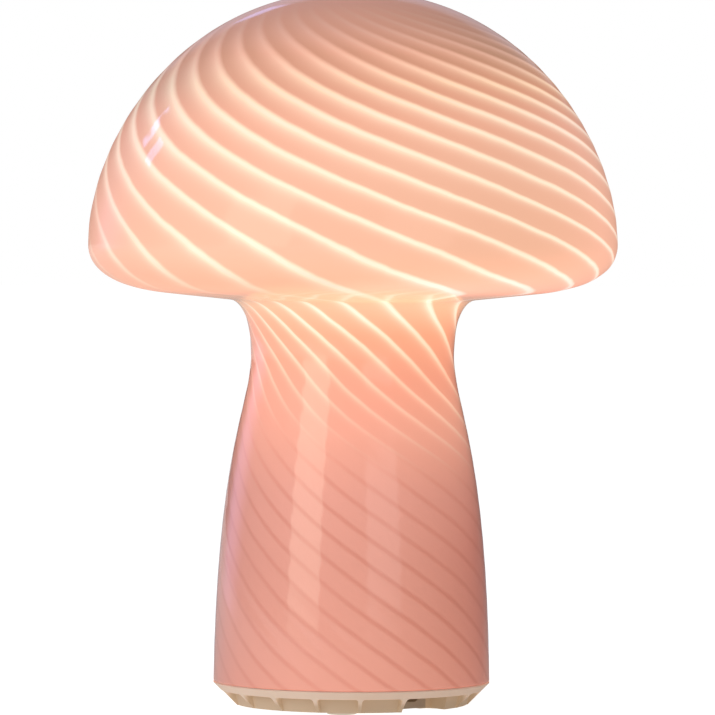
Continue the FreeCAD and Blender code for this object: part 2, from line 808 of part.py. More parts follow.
def centre_contact():
    top = insert_top + strip_thickness
    strip = block((-strip_width / 2, strip_width / 2),
                  (-terminal_offset - terminal_bore_radius, strip_width / 2), (insert_top, top))
    strip = strip.common(cylinder(screw_bore_radius - insert_fit, insert_top, top))
    dome = Part.makeCone(centre_dome_radius, centre_dome_radius / 2, centre_dome_height,
                         vector(0, 0, top))
    rivet = cylinder(terminal_bore_radius - insert_fit / 2, insert_bottom, insert_top, 0, -terminal_offset)
    return cord_frame(fused([terminal_cube(-1), rivet, strip, dome]))


def side_contact():
    inner = side_strip_outer() - strip_thickness
    strip = block((-strip_width / 2, strip_width / 2), (inner, inner + strip_thickness),
                  (insert_bottom - strip_thickness, insert_top + side_strip_rise))
    return cord_frame(fused([terminal_cube(1), strip]))


def holder_screws():
    half = terminal_size / 2
    screws = []
    for side in (-1, 1):
        middle = side * terminal_offset
        height = terminal_screw_height()
        shank = along_x(holder_screw_radius, lead_radius, half, middle, height)
        head = along_x(holder_screw_head_radius, half, half + holder_screw_head_height, middle, height)
        slot = block((half + holder_screw_head_height - drive_slot_depth, half + holder_screw_head_height),
                     (middle - drive_slot_width / 2, middle + drive_slot_width / 2),
                     (height - holder_screw_head_radius, height + holder_screw_head_radius))
        screws.append(cord_frame(shank.fuse(head).cut(slot)))
    return screws


# ---------------------------------------------------------------- bulb
def bulb_tip_contact():
    dome = Part.makeCone(tip_radius / 2, tip_radius, tip_height / 2, vector(0, 0, tip_bottom))
    stem = cylinder(tip_radius, tip_bottom + tip_height / 2, tip_bottom + tip_height)
    return fused([dome, stem])


def bulb_insulator():
    low = tip_bottom + tip_height
    return Part.makeCone(tip_radius, insulator_radius, insulator_height, vector(0, 0, low))


def bulb_screw_shell():
    """Rolled metal shell whose thread is drawn as rings."""
    outside = [(insulator_radius, shell_bottom)]
    for turn in range(thread_turns):
        low = shell_bottom + turn * thread_pitch
        middle = low + thread_pitch / 2
        outside.append((thread_root_radius, middle - thread_flank - thread_flat / 2))
        outside.append((thread_crest_radius, middle - thread_flat / 2))
        outside.append((thread_crest_radius, middle + thread_flat / 2))
        outside.append((thread_root_radius, middle + thread_flank + thread_flat / 2))
    outside.append((thread_root_radius, shell_top))
    inner = thread_root_radius - shell_wall
    return turned(outside + [(inner, shell_top), (inner, shell_bottom)])


def bulb_body():
    """Plastic cone with a spigot that fills the top of the screw shell."""
    spigot = thread_root_radius - shell_wall
    bore = spigot - bulb_spigot_wall
    board_seat = globe_seat - led_board_thickness
    inner_top = bulb_body_radius - bulb_body_wall
    return turned([(bore, shell_top - bulb_spigot_depth), (spigot, shell_top - bulb_spigot_depth),
                   (spigot, shell_top), (bulb_neck_radius, shell_top),
                   (bulb_neck_radius, shell_top + bulb_body_wall),
                   (bulb_body_radius, board_seat - bulb_body_wall),
                   (bulb_body_radius, globe_seat), (inner_top + led_board_edge, globe_seat),
                   (inner_top + led_board_edge, board_seat), (inner_top - bulb_body_wall, board_seat),
                   (bore, shell_top + bulb_body_wall)])


def bulb_diffuser():
    ball = Part.makeSphere(globe_radius, vector(0, 0, globe_centre))
    hollow = Part.makeSphere(globe_radius - globe_wall, vector(0, 0, globe_centre))
    above = cylinder(globe_radius * 2, globe_seat, globe_centre + globe_radius * 2)
    return ball.cut(hollow).common(above)


def bulb_led_board():
    edge = bulb_body_radius - bulb_body_wall
    return cylinder(edge, globe_seat - led_board_thickness, globe_seat)


def bulb_led_chips():
    chip = block((led_ring_radius - led_width / 2, led_ring_radius + led_width / 2),
                 (-led_length / 2, led_length / 2), (globe_seat, globe_seat + led_height))
    return spread(chip, even_angles(led_count))


def driver_heights():
    tail_bottom = shell_top - bulb_spigot_depth
    head_top = globe_seat - led_board_thickness
    return tail_bottom, head_top - driver_head_height, head_top


def bulb_driver_board():
    tail_bottom, head_bottom, head_top = driver_heights()
    bore = thread_root_radius - shell_wall - bulb_spigot_wall
    half_tail = math.sqrt(bore ** 2 - driver_board_thickness ** 2) - driver_board_fit
    half_board = driver_board_thickness / 2
    tail = block((-half_tail, half_tail), (-half_board, half_board), (tail_bottom, head_bottom))
    head = block((-driver_head_width / 2, driver_head_width / 2), (-half_board, half_board),
                 (head_bottom, head_top))
    return fused([tail, head])


def bulb_driver_parts():
    tail_bottom, head_bottom, head_top = driver_heights()
    face = driver_board_thickness / 2
    capacitor = Part.makeCylinder(capacitor_radius, capacitor_length,
                                  vector(-driver_head_width / 4, face + capacitor_radius,
                                         head_top - capacitor_length - coil_height / 4))
    coil = Part.makeCylinder(coil_radius, coil_height,
                             vector(driver_head_width / 4, face, head_top - 2 * coil_radius),
                             vector(0, 1, 0))
    chip = block((driver_head_width / 4 - chip_size / 2, driver_head_width / 4 + chip_size / 2),
                 (-face - chip_height, -face), (head_top - 2 * chip_size, head_top - chip_size))
    return [capacitor, coil, chip]


os.makedirs("parts", exist_ok=True)
save("base_housing", base_housing())
save("bottom_cover", bottom_cover())
save("cover_screws", cover_screws())
save("rubber_feet", rubber_feet())
save("rim_gasket", rim_gasket())
save("inlet_bush", inlet_bush())
save("stand_pipe", stand_pipe())
save("pipe_nuts", pipe_nuts())
save("pipe_washers", pipe_washers())
save("terminal_block", terminal_block())
save("terminal_barrels", terminal_barrels())
save("clamp_screws", clamp_screws())
save("block_screw", block_screw())
save("lead_live", lead(-1))
save("lead_neutral", lead(1))
save("holder_cap", holder_cap())
save("holder_set_screw", holder_set_screw())
save("holder_shell", holder_shell())
save("holder_insert", holder_insert())
save("holder_centre_contact", centre_contact())
save("holder_side_contact", side_contact())
save("holder_screws", holder_screws())
save("glass_shade", glass_shade())
save("shade_collar", shade_collar())
save("collar_adhesive", collar_adhesive())
save("bulb_tip_contact", bulb_tip_contact())
save("bulb_insulator", bulb_insulator())
save("bulb_screw_shell", bulb_screw_shell())
save("bulb_body", bulb_body())
save("bulb_driver_board", bulb_driver_board())
save("bulb_driver_parts", bulb_driver_parts())
save("bulb_led_board", bulb_led_board())
save("bulb_led_chips", bulb_led_chips())
save("bulb_diffuser", bulb_diffuser())
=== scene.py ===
import math

import bpy
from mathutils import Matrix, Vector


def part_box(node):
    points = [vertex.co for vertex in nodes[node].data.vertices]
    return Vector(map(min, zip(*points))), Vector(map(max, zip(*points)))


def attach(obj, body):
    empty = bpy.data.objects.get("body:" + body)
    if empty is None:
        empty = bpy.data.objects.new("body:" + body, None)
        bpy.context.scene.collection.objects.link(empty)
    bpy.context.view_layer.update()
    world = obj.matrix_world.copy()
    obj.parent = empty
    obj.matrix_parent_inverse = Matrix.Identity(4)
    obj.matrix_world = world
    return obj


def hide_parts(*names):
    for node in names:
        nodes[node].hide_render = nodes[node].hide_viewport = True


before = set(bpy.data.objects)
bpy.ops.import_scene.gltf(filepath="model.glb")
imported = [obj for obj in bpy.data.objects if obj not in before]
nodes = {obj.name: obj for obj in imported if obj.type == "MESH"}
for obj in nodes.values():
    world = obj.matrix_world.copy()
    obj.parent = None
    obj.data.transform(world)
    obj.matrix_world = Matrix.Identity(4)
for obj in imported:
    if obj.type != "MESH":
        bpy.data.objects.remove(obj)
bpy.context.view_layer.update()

MM = 0.001


# ------------------------------------------------------------------ base housing
# The foot of the lamp: one cream moulding with a flange, eighteen open pockets between
# ribs under it, a drum that the glass turns on and the deck that carries the pipe. It is
# injection moulded ABS, matt from a fine spark-eroded mould.
def add(tree, kind, inputs=None, **settings):
    """A node with its settings and its inputs, each a value or another node's socket."""
    made = tree.nodes.new(kind)
    for name, value in settings.items():
        setattr(made, name, value)
    for key, value in (inputs or {}).items():
        if isinstance(value, bpy.types.NodeSocket):
            tree.links.new(value, made.inputs[key])
        else:
            made.inputs[key].default_value = value
    return made


def maths(tree, operation, *values):
    """The result of one sum on one to three values or sockets."""
    return add(tree, "ShaderNodeMath", dict(enumerate(values)), operation=operation).outputs[0]


def between(tree, value, low, high, to_low=0.0, to_high=1.0, kind="SMOOTHSTEP"):
    """A value mapped from one range to another and held there."""
    return add(tree, "ShaderNodeMapRange", {"Value": value, "From Min": low, "From Max": high,
                                            "To Min": to_low, "To Max": to_high},
               interpolation_type=kind).outputs["Result"]


def mixed(tree, factor, first, second, blend="MIX"):
    """Two colours mixed."""
    return add(tree, "ShaderNodeMix", {0: factor, 6: first, 7: second},
               data_type="RGBA", blend_type=blend).outputs[2]


def noise(tree, place, scale, detail=3.0, roughness=0.5):
    """Soft random values from 0 to 1 about a place; scale counts cells per metre."""
    return add(tree, "ShaderNodeTexNoise", {"Vector": place, "Scale": scale, "Detail": detail,
                                            "Roughness": roughness}).outputs["Fac"]


def new_skin(name, inputs):
    """An empty skin group: its inputs, and a colour, a roughness and a height out of it."""
    skin = bpy.data.node_groups.new(name, "ShaderNodeTree")
    for label, value in inputs.items():
        kind = "NodeSocketColor" if isinstance(value, tuple) else "NodeSocketFloat"
        skin.interface.new_socket(label, in_out="INPUT", socket_type=kind).default_value = value
    skin.interface.new_socket("Colour", in_out="OUTPUT", socket_type="NodeSocketColor")
    for label in ("Roughness", "Height"):
        skin.interface.new_socket(label, in_out="OUTPUT", socket_type="NodeSocketFloat")
    return skin, skin.nodes.new("NodeGroupInput").outputs, skin.nodes.new("NodeGroupOutput").inputs


def make_moulded_skin():
    """Moulded plastic and rubber: fine grain, faint flow marks and dust."""
    skin, given, result = new_skin("moulded_skin", {
        "Colour": (0.8, 0.8, 0.8, 1.0), "Shade": (0.7, 0.7, 0.7, 1.0), "Grain": 2500.0,
        "Flow": 60.0, "Unevenness": 0.5, "Matt": 0.5, "Matt Spread": 0.1})
    place = add(skin, "ShaderNodeTexCoord").outputs["Object"]
    grain = noise(skin, place, given["Grain"], 2.0)
    flow = noise(skin, place, given["Flow"], 4.0, 0.6)
    dust = between(skin, noise(skin, place, 900.0, 5.0, 0.7), 0.58, 0.75)
    shade = maths(skin, "MULTIPLY", between(skin, flow, 0.35, 0.7), given["Unevenness"])
    colour = mixed(skin, shade, given["Colour"], given["Shade"])
    colour = mixed(skin, maths(skin, "MULTIPLY", dust, 0.10), colour, (0.75, 0.73, 0.70, 1.0))
    spread = maths(skin, "MULTIPLY", maths(skin, "SUBTRACT", grain, 0.5), given["Matt Spread"])
    skin.links.new(colour, result["Colour"])
    skin.links.new(maths(skin, "ADD", given["Matt"], spread), result["Roughness"])
    skin.links.new(maths(skin, "ADD", grain, maths(skin, "MULTIPLY", flow, 1.5)), result["Height"])
    return skin


def finished(name, skin, values, bump, **even):
    """A material whose colour, roughness and bump vary as a skin says; the rest is even."""
    material = bpy.data.materials.new(name)
    material.use_nodes = True
    tree = material.node_tree
    shader = tree.nodes["Principled BSDF"]
    made = add(tree, "ShaderNodeGroup", node_tree=skin)
    for label, value in values.items():
        made.inputs[label].default_value = value
    relief = add(tree, "ShaderNodeBump", {"Height": made.outputs["Height"], "Distance": bump,
                                          "Strength": 1.0})
    tree.links.new(made.outputs["Colour"], shader.inputs["Base Color"])
    tree.links.new(made.outputs["Roughness"], shader.inputs["Roughness"])
    tree.links.new(relief.outputs["Normal"], shader.inputs["Normal"])
    for label, value in even.items():
        shader.inputs[label.replace("_", " ")].default_value = value
    return material


def dress(material, *names):
    """Puts a material on the solids of some nodes."""
    for name in names:
        for slot in nodes[name].material_slots:
            slot.material = material


moulded_skin = make_moulded_skin()
# The cream plastic glows faintly. This is a painted glow: an emission that stands in for light
# falling on the base, which is no lamp.
cream_plastic_painted_glow = finished("cream_plastic_painted_glow", moulded_skin, {
    "Colour": (0.88, 0.76, 0.62, 1.0), "Shade": (0.80, 0.67, 0.52, 1.0), "Grain": 3500.0,
    "Flow": 45.0, "Unevenness": 0.5, "Matt": 0.52, "Matt Spread": 0.16}, 0.00002,
    Emission_Strength=1.0)


def paint_pocket_shade_and_glow(material, inner, outer):
    """Paints shade into the pockets behind a flange, inside a radius: a darker colour there, and
    less painted glow than on the flange.
    """
    tree = material.node_tree
    shader = tree.nodes["Principled BSDF"]
    place = add(tree, "ShaderNodeSeparateXYZ", {0: add(tree, "ShaderNodeTexCoord").outputs[
        "Object"]}).outputs
    radius = maths(tree, "SQRT", maths(tree, "ADD", maths(tree, "POWER", place["X"], 2.0),
                                       maths(tree, "POWER", place["Y"], 2.0)))
    outward = between(tree, radius, inner, outer)
    clean = shader.inputs["Base Color"].links[0].from_socket
    # painted shade: tan and darker inside the pocket radius; painted glow: brighter on the flange
    # than in the pockets
    colour = mixed(tree, outward, (0.68, 0.54, 0.39, 1.0), clean)
    glow = mixed(tree, outward, (0.11, 0.08, 0.05, 1.0), (0.19, 0.14, 0.11, 1.0))
    tree.links.new(colour, shader.inputs["Base Color"])
    tree.links.new(glow, shader.inputs["Emission Color"])


pocket_radius, flange_radius = 41.5 * MM, 44.0 * MM
paint_pocket_shade_and_glow(cream_plastic_painted_glow, pocket_radius, flange_radius)
dress(cream_plastic_painted_glow, "base_housing")


# ------------------------------------------------------------------ underside of the base
# A round cover of the same cream plastic, a little greyer from handling, held by three
# zinc-plated screws. Four pale rubber feet sit in its recesses, and a pale rubber bush
# lines the slot where the cord would come in.
def make_metal_skin():
    """Plated or drawn metal: fine lines round the turning axis, spots of tarnish."""
    skin, given, result = new_skin("metal_skin", {
        "Colour": (0.7, 0.7, 0.7, 1.0), "Tarnish": (0.4, 0.4, 0.4, 1.0), "Lines": 6000.0,
        "Wear": 0.3, "Polish": 0.25})
    place = add(skin, "ShaderNodeTexCoord").outputs["Object"]
    flat = add(skin, "ShaderNodeMapping", {"Vector": place, "Scale": (0.08, 0.08, 1.0)})
    lines = noise(skin, flat.outputs["Vector"], given["Lines"], 2.0)
    cloud = noise(skin, place, 260.0, 5.0, 0.65)
    spots = maths(skin, "MULTIPLY", between(skin, cloud, 0.48, 0.72), given["Wear"])
    rough = maths(skin, "ADD", given["Polish"], maths(skin, "MULTIPLY", spots, 0.35))
    rough = maths(skin, "ADD", rough, maths(skin, "MULTIPLY", lines, 0.08))
    skin.links.new(mixed(skin, spots, given["Colour"], given["Tarnish"]), result["Colour"])
    skin.links.new(rough, result["Roughness"])
    skin.links.new(lines, result["Height"])
    return skin


metal_skin = make_metal_skin()
cover_plastic = finished("cover_plastic", moulded_skin, {
    "Colour": (0.76, 0.66, 0.53, 1.0), "Shade": (0.66, 0.56, 0.44, 1.0), "Grain": 1800.0,
    "Flow": 35.0, "Unevenness": 0.6, "Matt": 0.60, "Matt Spread": 0.14}, 0.00003)
zinc_plate = finished("zinc_plate", metal_skin, {
    "Colour": (0.62, 0.64, 0.66, 1.0), "Tarnish": (0.40, 0.40, 0.38, 1.0), "Lines": 9000.0,
    "Wear": 0.35, "Polish": 0.26}, 0.000006, Metallic=1.0)
# The rubber feet carry a painted glow, a faint even emission, though they are no lamp.
foot_rubber = finished("foot_rubber", moulded_skin, {
    "Colour": (0.80, 0.77, 0.71, 1.0), "Shade": (0.70, 0.66, 0.60, 1.0), "Grain": 1600.0,
    "Flow": 120.0, "Unevenness": 0.7, "Matt": 0.72, "Matt Spread": 0.12}, 0.00004,
    Emission_Color=(0.24, 0.20, 0.16, 1.0), Emission_Strength=1.0)
bush_rubber = finished("bush_rubber", moulded_skin, {
    "Colour": (0.62, 0.53, 0.43, 1.0), "Shade": (0.52, 0.44, 0.35, 1.0), "Grain": 2600.0,
    "Flow": 140.0, "Unevenness": 0.5, "Matt": 0.70, "Matt Spread": 0.10}, 0.00003)
dress(cover_plastic, "bottom_cover")
dress(zinc_plate, "cover_screws")
dress(foot_rubber, "rubber_feet")
dress(bush_rubber, "inlet_bush")


# ------------------------------------------------------------------ terminal block and leads
# A two-pole block of natural polyamide hangs under the deck on one screw. Its brass
# barrels take the cord on one side and the two lampholder leads on the other. The leads
# are stranded wire in brown and blue insulation, drawn through the pipe.
block_plastic = finished("block_plastic", moulded_skin, {
    "Colour": (0.78, 0.77, 0.72, 1.0), "Shade": (0.70, 0.68, 0.60, 1.0), "Grain": 1500.0,
    "Flow": 160.0, "Unevenness": 0.6, "Matt": 0.38, "Matt Spread": 0.10}, 0.00002,
    Subsurface_Weight=0.1)
contact_brass = finished("contact_brass", metal_skin, {
    "Colour": (0.74, 0.52, 0.20, 1.0), "Tarnish": (0.42, 0.26, 0.10, 1.0), "Lines": 8000.0,
    "Wear": 0.45, "Polish": 0.24}, 0.000006, Metallic=1.0)
brown_insulation = finished("brown_insulation", moulded_skin, {
    "Colour": (0.14, 0.045, 0.018, 1.0), "Shade": (0.10, 0.030, 0.012, 1.0), "Grain": 4000.0,
    "Flow": 220.0, "Unevenness": 0.6, "Matt": 0.32, "Matt Spread": 0.10}, 0.00001)
blue_insulation = finished("blue_insulation", moulded_skin, {
    "Colour": (0.012, 0.075, 0.33, 1.0), "Shade": (0.009, 0.055, 0.24, 1.0), "Grain": 4000.0,
    "Flow": 220.0, "Unevenness": 0.6, "Matt": 0.32, "Matt Spread": 0.10}, 0.00001)
dress(block_plastic, "terminal_block")
dress(contact_brass, "terminal_barrels")
dress(zinc_plate, "clamp_screws", "block_screw")
dress(brown_insulation, "lead_live")
dress(blue_insulation, "lead_neutral")


# ------------------------------------------------------------------ threaded pipe
# A zinc-plated steel tube with a rolled M10 x 1 thread from end to end. It stands on the
# deck between two nuts with washers, and carries the lampholder up into the neck.
def make_turned_surface():
    """The tree that turns an outline, a string of points with r in x and z in z, about Z.

    Ridges run round it: one stands wherever Turns less the point's own twist is a whole
    number. Between them the surface lies lower by Depth times the point's own depth.
    """
    tree = bpy.data.node_groups.new("turned_surface", "GeometryNodeTree")
    face = tree.interface
    face.new_socket("Outline", in_out="INPUT", socket_type="NodeSocketGeometry")
    face.new_socket("Segments", in_out="INPUT", socket_type="NodeSocketInt")
    face.new_socket("Ridges", in_out="INPUT", socket_type="NodeSocketInt")
    face.new_socket("Depth", in_out="INPUT", socket_type="NodeSocketFloat")
    face.new_socket("Finish", in_out="INPUT", socket_type="NodeSocketMaterial")
    face.new_socket("Surface", in_out="OUTPUT", socket_type="NodeSocketGeometry")
    given = tree.nodes.new("NodeGroupInput").outputs
    outline = given["Outline"]
    rows = add(tree, "GeometryNodeAttributeDomainSize", {"Geometry": outline},
               component="MESH").outputs["Point Count"]
    grid = add(tree, "GeometryNodeMeshGrid", {
        "Vertices X": maths(tree, "ADD", given["Segments"], 1.0), "Vertices Y": rows})
    index = add(tree, "GeometryNodeInputIndex").outputs["Index"]
    column = maths(tree, "FLOOR", maths(tree, "DIVIDE", maths(tree, "ADD", index, 0.5), rows))
    row = maths(tree, "SUBTRACT", index, maths(tree, "MULTIPLY", column, rows))
    turn = maths(tree, "DIVIDE", column, given["Segments"])
    angle = maths(tree, "MULTIPLY", turn, 2.0 * math.pi)
    sine, cosine = maths(tree, "SINE", angle), maths(tree, "COSINE", angle)

    def of_row(name, kind="FLOAT"):
        value = add(tree, "GeometryNodeInputNamedAttribute", {"Name": name}, data_type=kind)
        return add(tree, "GeometryNodeSampleIndex", {
            "Geometry": outline, "Value": value.outputs["Attribute"], "Index": row},
            data_type=kind, domain="POINT").outputs["Value"]

    place = add(tree, "ShaderNodeSeparateXYZ", {0: of_row("position", "FLOAT_VECTOR")}).outputs
    facing = add(tree, "ShaderNodeSeparateXYZ", {0: of_row("facing", "FLOAT_VECTOR")}).outputs
    lean = maths(tree, "ADD", maths(tree, "MULTIPLY", of_row("twist_front"), cosine),
                 maths(tree, "MULTIPLY", of_row("twist_right"), sine))
    phase = maths(tree, "SUBTRACT", maths(tree, "MULTIPLY", turn, given["Ridges"]),
                  maths(tree, "ADD", of_row("twist"), lean))
    wave = maths(tree, "COSINE", maths(tree, "MULTIPLY", phase, 2.0 * math.pi))
    ridge = maths(tree, "MULTIPLY_ADD", wave, 0.5, 0.5)
    sink = maths(tree, "MULTIPLY", maths(tree, "SUBTRACT", ridge, 1.0),
                 maths(tree, "MULTIPLY", given["Depth"], of_row("depth")))
    radius = maths(tree, "MULTIPLY_ADD", facing["X"], sink, place["X"])
    height = maths(tree, "MULTIPLY_ADD", facing["Z"], sink, place["Z"])
    spot = add(tree, "ShaderNodeCombineXYZ", {
        "X": maths(tree, "MULTIPLY", radius, sine),
        "Y": maths(tree, "MULTIPLY", radius, maths(tree, "MULTIPLY", cosine, -1.0)),
        "Z": height}).outputs[0]
    kept = grid.outputs["Mesh"]
    for name, value in (("phase", phase), ("along", of_row("along"))):
        kept = add(tree, "GeometryNodeStoreNamedAttribute", {
            "Geometry": kept, "Name": name, "Value": value},
            data_type="FLOAT", domain="POINT").outputs[0]
    kept = add(tree, "GeometryNodeSetPosition", {"Geometry": kept, "Position": spot}).outputs[0]
    read = [add(tree, "GeometryNodeInputNamedAttribute", {"Name": name},
                data_type="FLOAT").outputs["Attribute"] for name in ("phase", "along")]
    unrolled = add(tree, "ShaderNodeCombineXYZ", {"X": read[0], "Y": read[1]}).outputs[0]
    kept = add(tree, "GeometryNodeStoreNamedAttribute", {
        "Geometry": kept, "Name": "unrolled", "Value": unrolled},
        data_type="FLOAT2", domain="CORNER").outputs[0]
    for name in ("phase", "along"):
        kept = add(tree, "GeometryNodeRemoveAttribute", {
            "Geometry": kept, "Name": name}).outputs[0]
    kept = add(tree, "GeometryNodeMergeByDistance", {
        "Geometry": kept, "Distance": 0.001 * MM}).outputs[0]
    kept = add(tree, "GeometryNodeSetShadeSmooth", {"Geometry": kept}).outputs[0]
    kept = add(tree, "GeometryNodeRealizeInstances", {"Geometry": kept}).outputs[0]
    kept = add(tree, "GeometryNodeSetMaterial", {"Geometry": kept,
                                                 "Material": given["Finish"]}).outputs[0]
    tree.links.new(kept, tree.nodes.new("NodeGroupOutput").inputs["Surface"])
    return tree


def turned_piece(name, rows, finish, segments, ridges, depth):
    """A closed piece turned from rows of (r, z, along, twist, twist_front, twist_right, depth)."""
    mesh = bpy.data.meshes.new(name)
    mesh.from_pydata([(row[0], 0.0, row[1]) for row in rows],
                     [(i, i + 1) for i in range(len(rows) - 1)], [])
    facing = mesh.attributes.new("facing", "FLOAT_VECTOR", "POINT")
    last = len(rows) - 1
    for i in range(len(rows)):
        before, after = rows[max(i - 1, 0)], rows[min(i + 1, last)]
        step = (after[0] - before[0], after[1] - before[1])
        size = math.hypot(*step) or 1.0
        facing.data[i].vector = (-step[1] / size, 0.0, step[0] / size)
    for place, label in enumerate(("along", "twist", "twist_front", "twist_right", "depth"), 2):
        values = mesh.attributes.new(label, "FLOAT", "POINT")
        values.data.foreach_set("value", [row[place] for row in rows])
    piece = bpy.data.objects.new(name, mesh)
    bpy.context.scene.collection.objects.link(piece)
    turning = piece.modifiers.new("turning", "NODES")
    turning.node_group = turned_surface
    wanted = {"Segments": segments, "Ridges": ridges, "Depth": depth, "Finish": finish}
    for item in turned_surface.interface.items_tree:
        if item.name in wanted:
            turning[item.identifier] = wanted[item.name]
    solid = piece.evaluated_get(bpy.context.evaluated_depsgraph_get())
    piece.data = bpy.data.meshes.new_from_object(solid)
    piece.modifiers.clear()
    piece.data.name = name
    bpy.data.meshes.remove(mesh)
    return piece


def evenly(start, end, step):
    """Points from one (r, z) to another, about a step apart, without the last."""
    count = max(1, round(math.dist(start, end) / step))
    return [(start[0] + (end[0] - start[0]) * i / count,
             start[1] + (end[1] - start[1]) * i / count) for i in range(count)]


def threaded(corners, fine, threads, pitch):
    """Rows of a turned piece whose outline runs round some corners, with a thread of one
    pitch cut where threads gives a range of heights on the outermost runs."""
    coarse = 1.5 * MM
    low, high, fade, least_radius = threads
    points = []
    for start, end in zip(corners, corners[1:] + corners[:1]):
        thread_here = min(start[0], end[0]) >= least_radius
        points += evenly(start, end, fine if thread_here else coarse)
    points.append(corners[0])
    rows = []
    for r, z in points:
        weight = min((z - low) / fade, (high - z) / fade, 1.0) if r >= least_radius else 0.0
        rows.append((r, z, z, z / pitch, 0.0, 0.0, max(weight, 0.0)))
    return rows


turned_surface = make_turned_surface()
pipe_low, pipe_high = (corner.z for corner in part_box("stand_pipe"))
pipe_radius, pipe_bore, pipe_chamfer = 5.0 * MM, 3.6 * MM, 0.6 * MM
pipe_pitch, pipe_depth = 1.0 * MM, 0.6 * MM
pipe_outline = [
    (pipe_bore, pipe_low), (pipe_bore, pipe_high), (pipe_radius - pipe_chamfer, pipe_high),
    (pipe_radius, pipe_high - pipe_chamfer), (pipe_radius, pipe_low + pipe_chamfer),
    (pipe_radius - pipe_chamfer, pipe_low)]
threaded_pipe = turned_piece("threaded_pipe", threaded(
    pipe_outline, pipe_pitch / 8, (pipe_low, pipe_high, 1.5 * MM, pipe_radius), pipe_pitch),
    zinc_plate, 64, 1, pipe_depth)
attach(threaded_pipe, "base")
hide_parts("stand_pipe")
dress(zinc_plate, "pipe_nuts", "pipe_washers")


# ------------------------------------------------------------------ lampholder
# A small E14 holder in two screwed halves of glossy white thermoset, locked on the pipe
# by a grub screw. An unglazed steatite insert inside holds the sprung brass contacts.
def make_ceramic_skin():
    """Unglazed steatite: pale, faintly speckled, dry to the touch."""
    skin, given, result = new_skin("ceramic_skin", {
        "Colour": (0.85, 0.82, 0.76, 1.0), "Speck": (0.5, 0.42, 0.33, 1.0)})
    place = add(skin, "ShaderNodeTexCoord").outputs["Object"]
    grain = noise(skin, place, 1200.0, 6.0, 0.7)
    speck = between(skin, noise(skin, place, 2200.0, 2.0), 0.66, 0.72)
    tone = mixed(skin, between(skin, noise(skin, place, 90.0, 3.0), 0.3, 0.8, 0.0, 0.25),
                 given["Colour"], given["Speck"])
    skin.links.new(mixed(skin, speck, tone, given["Speck"]), result["Colour"])
    skin.links.new(between(skin, grain, 0.3, 0.7, 0.55, 0.75), result["Roughness"])
    skin.links.new(grain, result["Height"])
    return skin


holder_plastic = finished("holder_plastic", moulded_skin, {
    "Colour": (0.80, 0.78, 0.72, 1.0), "Shade": (0.74, 0.71, 0.64, 1.0), "Grain": 3000.0,
    "Flow": 70.0, "Unevenness": 0.5, "Matt": 0.26, "Matt Spread": 0.06}, 0.000008,
    Coat_Weight=0.3, Coat_Roughness=0.12)
holder_ceramic = finished("holder_ceramic", make_ceramic_skin(), {}, 0.00002)
dress(holder_plastic, "holder_cap", "holder_shell")
dress(holder_ceramic, "holder_insert")
dress(contact_brass, "holder_centre_contact", "holder_side_contact")
dress(zinc_plate, "holder_set_screw", "holder_screws")


# ------------------------------------------------------------------ bulb cap
# The bulb's E14 screw cap: a nickel-plated brass shell with five rolled turns of round
# thread, closed below by fused black glass with a solder dome as the centre contact.
nickel_plate = finished("nickel_plate", metal_skin, {
    "Colour": (0.66, 0.63, 0.57, 1.0), "Tarnish": (0.45, 0.40, 0.32, 1.0), "Lines": 7000.0,
    "Wear": 0.25, "Polish": 0.16}, 0.000004, Metallic=1.0)
solder = finished("solder", metal_skin, {
    "Colour": (0.60, 0.60, 0.59, 1.0), "Tarnish": (0.36, 0.36, 0.36, 1.0), "Lines": 2500.0,
    "Wear": 0.6, "Polish": 0.34}, 0.00001, Metallic=1.0)
black_glass = finished("black_glass", moulded_skin, {
    "Colour": (0.008, 0.008, 0.010, 1.0), "Shade": (0.020, 0.020, 0.024, 1.0), "Grain": 5000.0,
    "Flow": 300.0, "Unevenness": 0.5, "Matt": 0.12, "Matt Spread": 0.05}, 0.000008)
cap_low, cap_high = (corner.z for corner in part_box("bulb_screw_shell"))
cap_pitch, cap_wall, cap_collar = 2.82 * MM, 0.35 * MM, 1.4 * MM
cap_crest, cap_depth = 6.9 * MM, 0.6 * MM
cap_inner = cap_crest - cap_depth - cap_wall
cap_outline = [
    (cap_inner, cap_low), (cap_inner, cap_high), (cap_crest, cap_high),
    (cap_crest, cap_high - cap_collar), (cap_crest, cap_low + cap_wall),
    (cap_crest - cap_depth, cap_low)]
bulb_cap = turned_piece("bulb_cap", threaded(
    cap_outline, 0.12 * MM, (cap_low, cap_high - cap_collar, 1.2 * MM, cap_crest), cap_pitch),
    nickel_plate, 96, 1, cap_depth)
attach(bulb_cap, "bulb")
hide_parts("bulb_screw_shell")
dress(black_glass, "bulb_insulator")
dress(solder, "bulb_tip_contact")


# ------------------------------------------------------------------ bulb body and boards
# A white moulded cone holds the driver board with its parts. An aluminium board with
# eight diodes closes it, and the opal globe snaps over them and spreads their light.
def lit(material, colour, strength):
    """Adds an even glow to a material."""
    shader = material.node_tree.nodes["Principled BSDF"]
    shader.inputs["Emission Color"].default_value = colour
    shader.inputs["Emission Strength"].default_value = strength
    return material


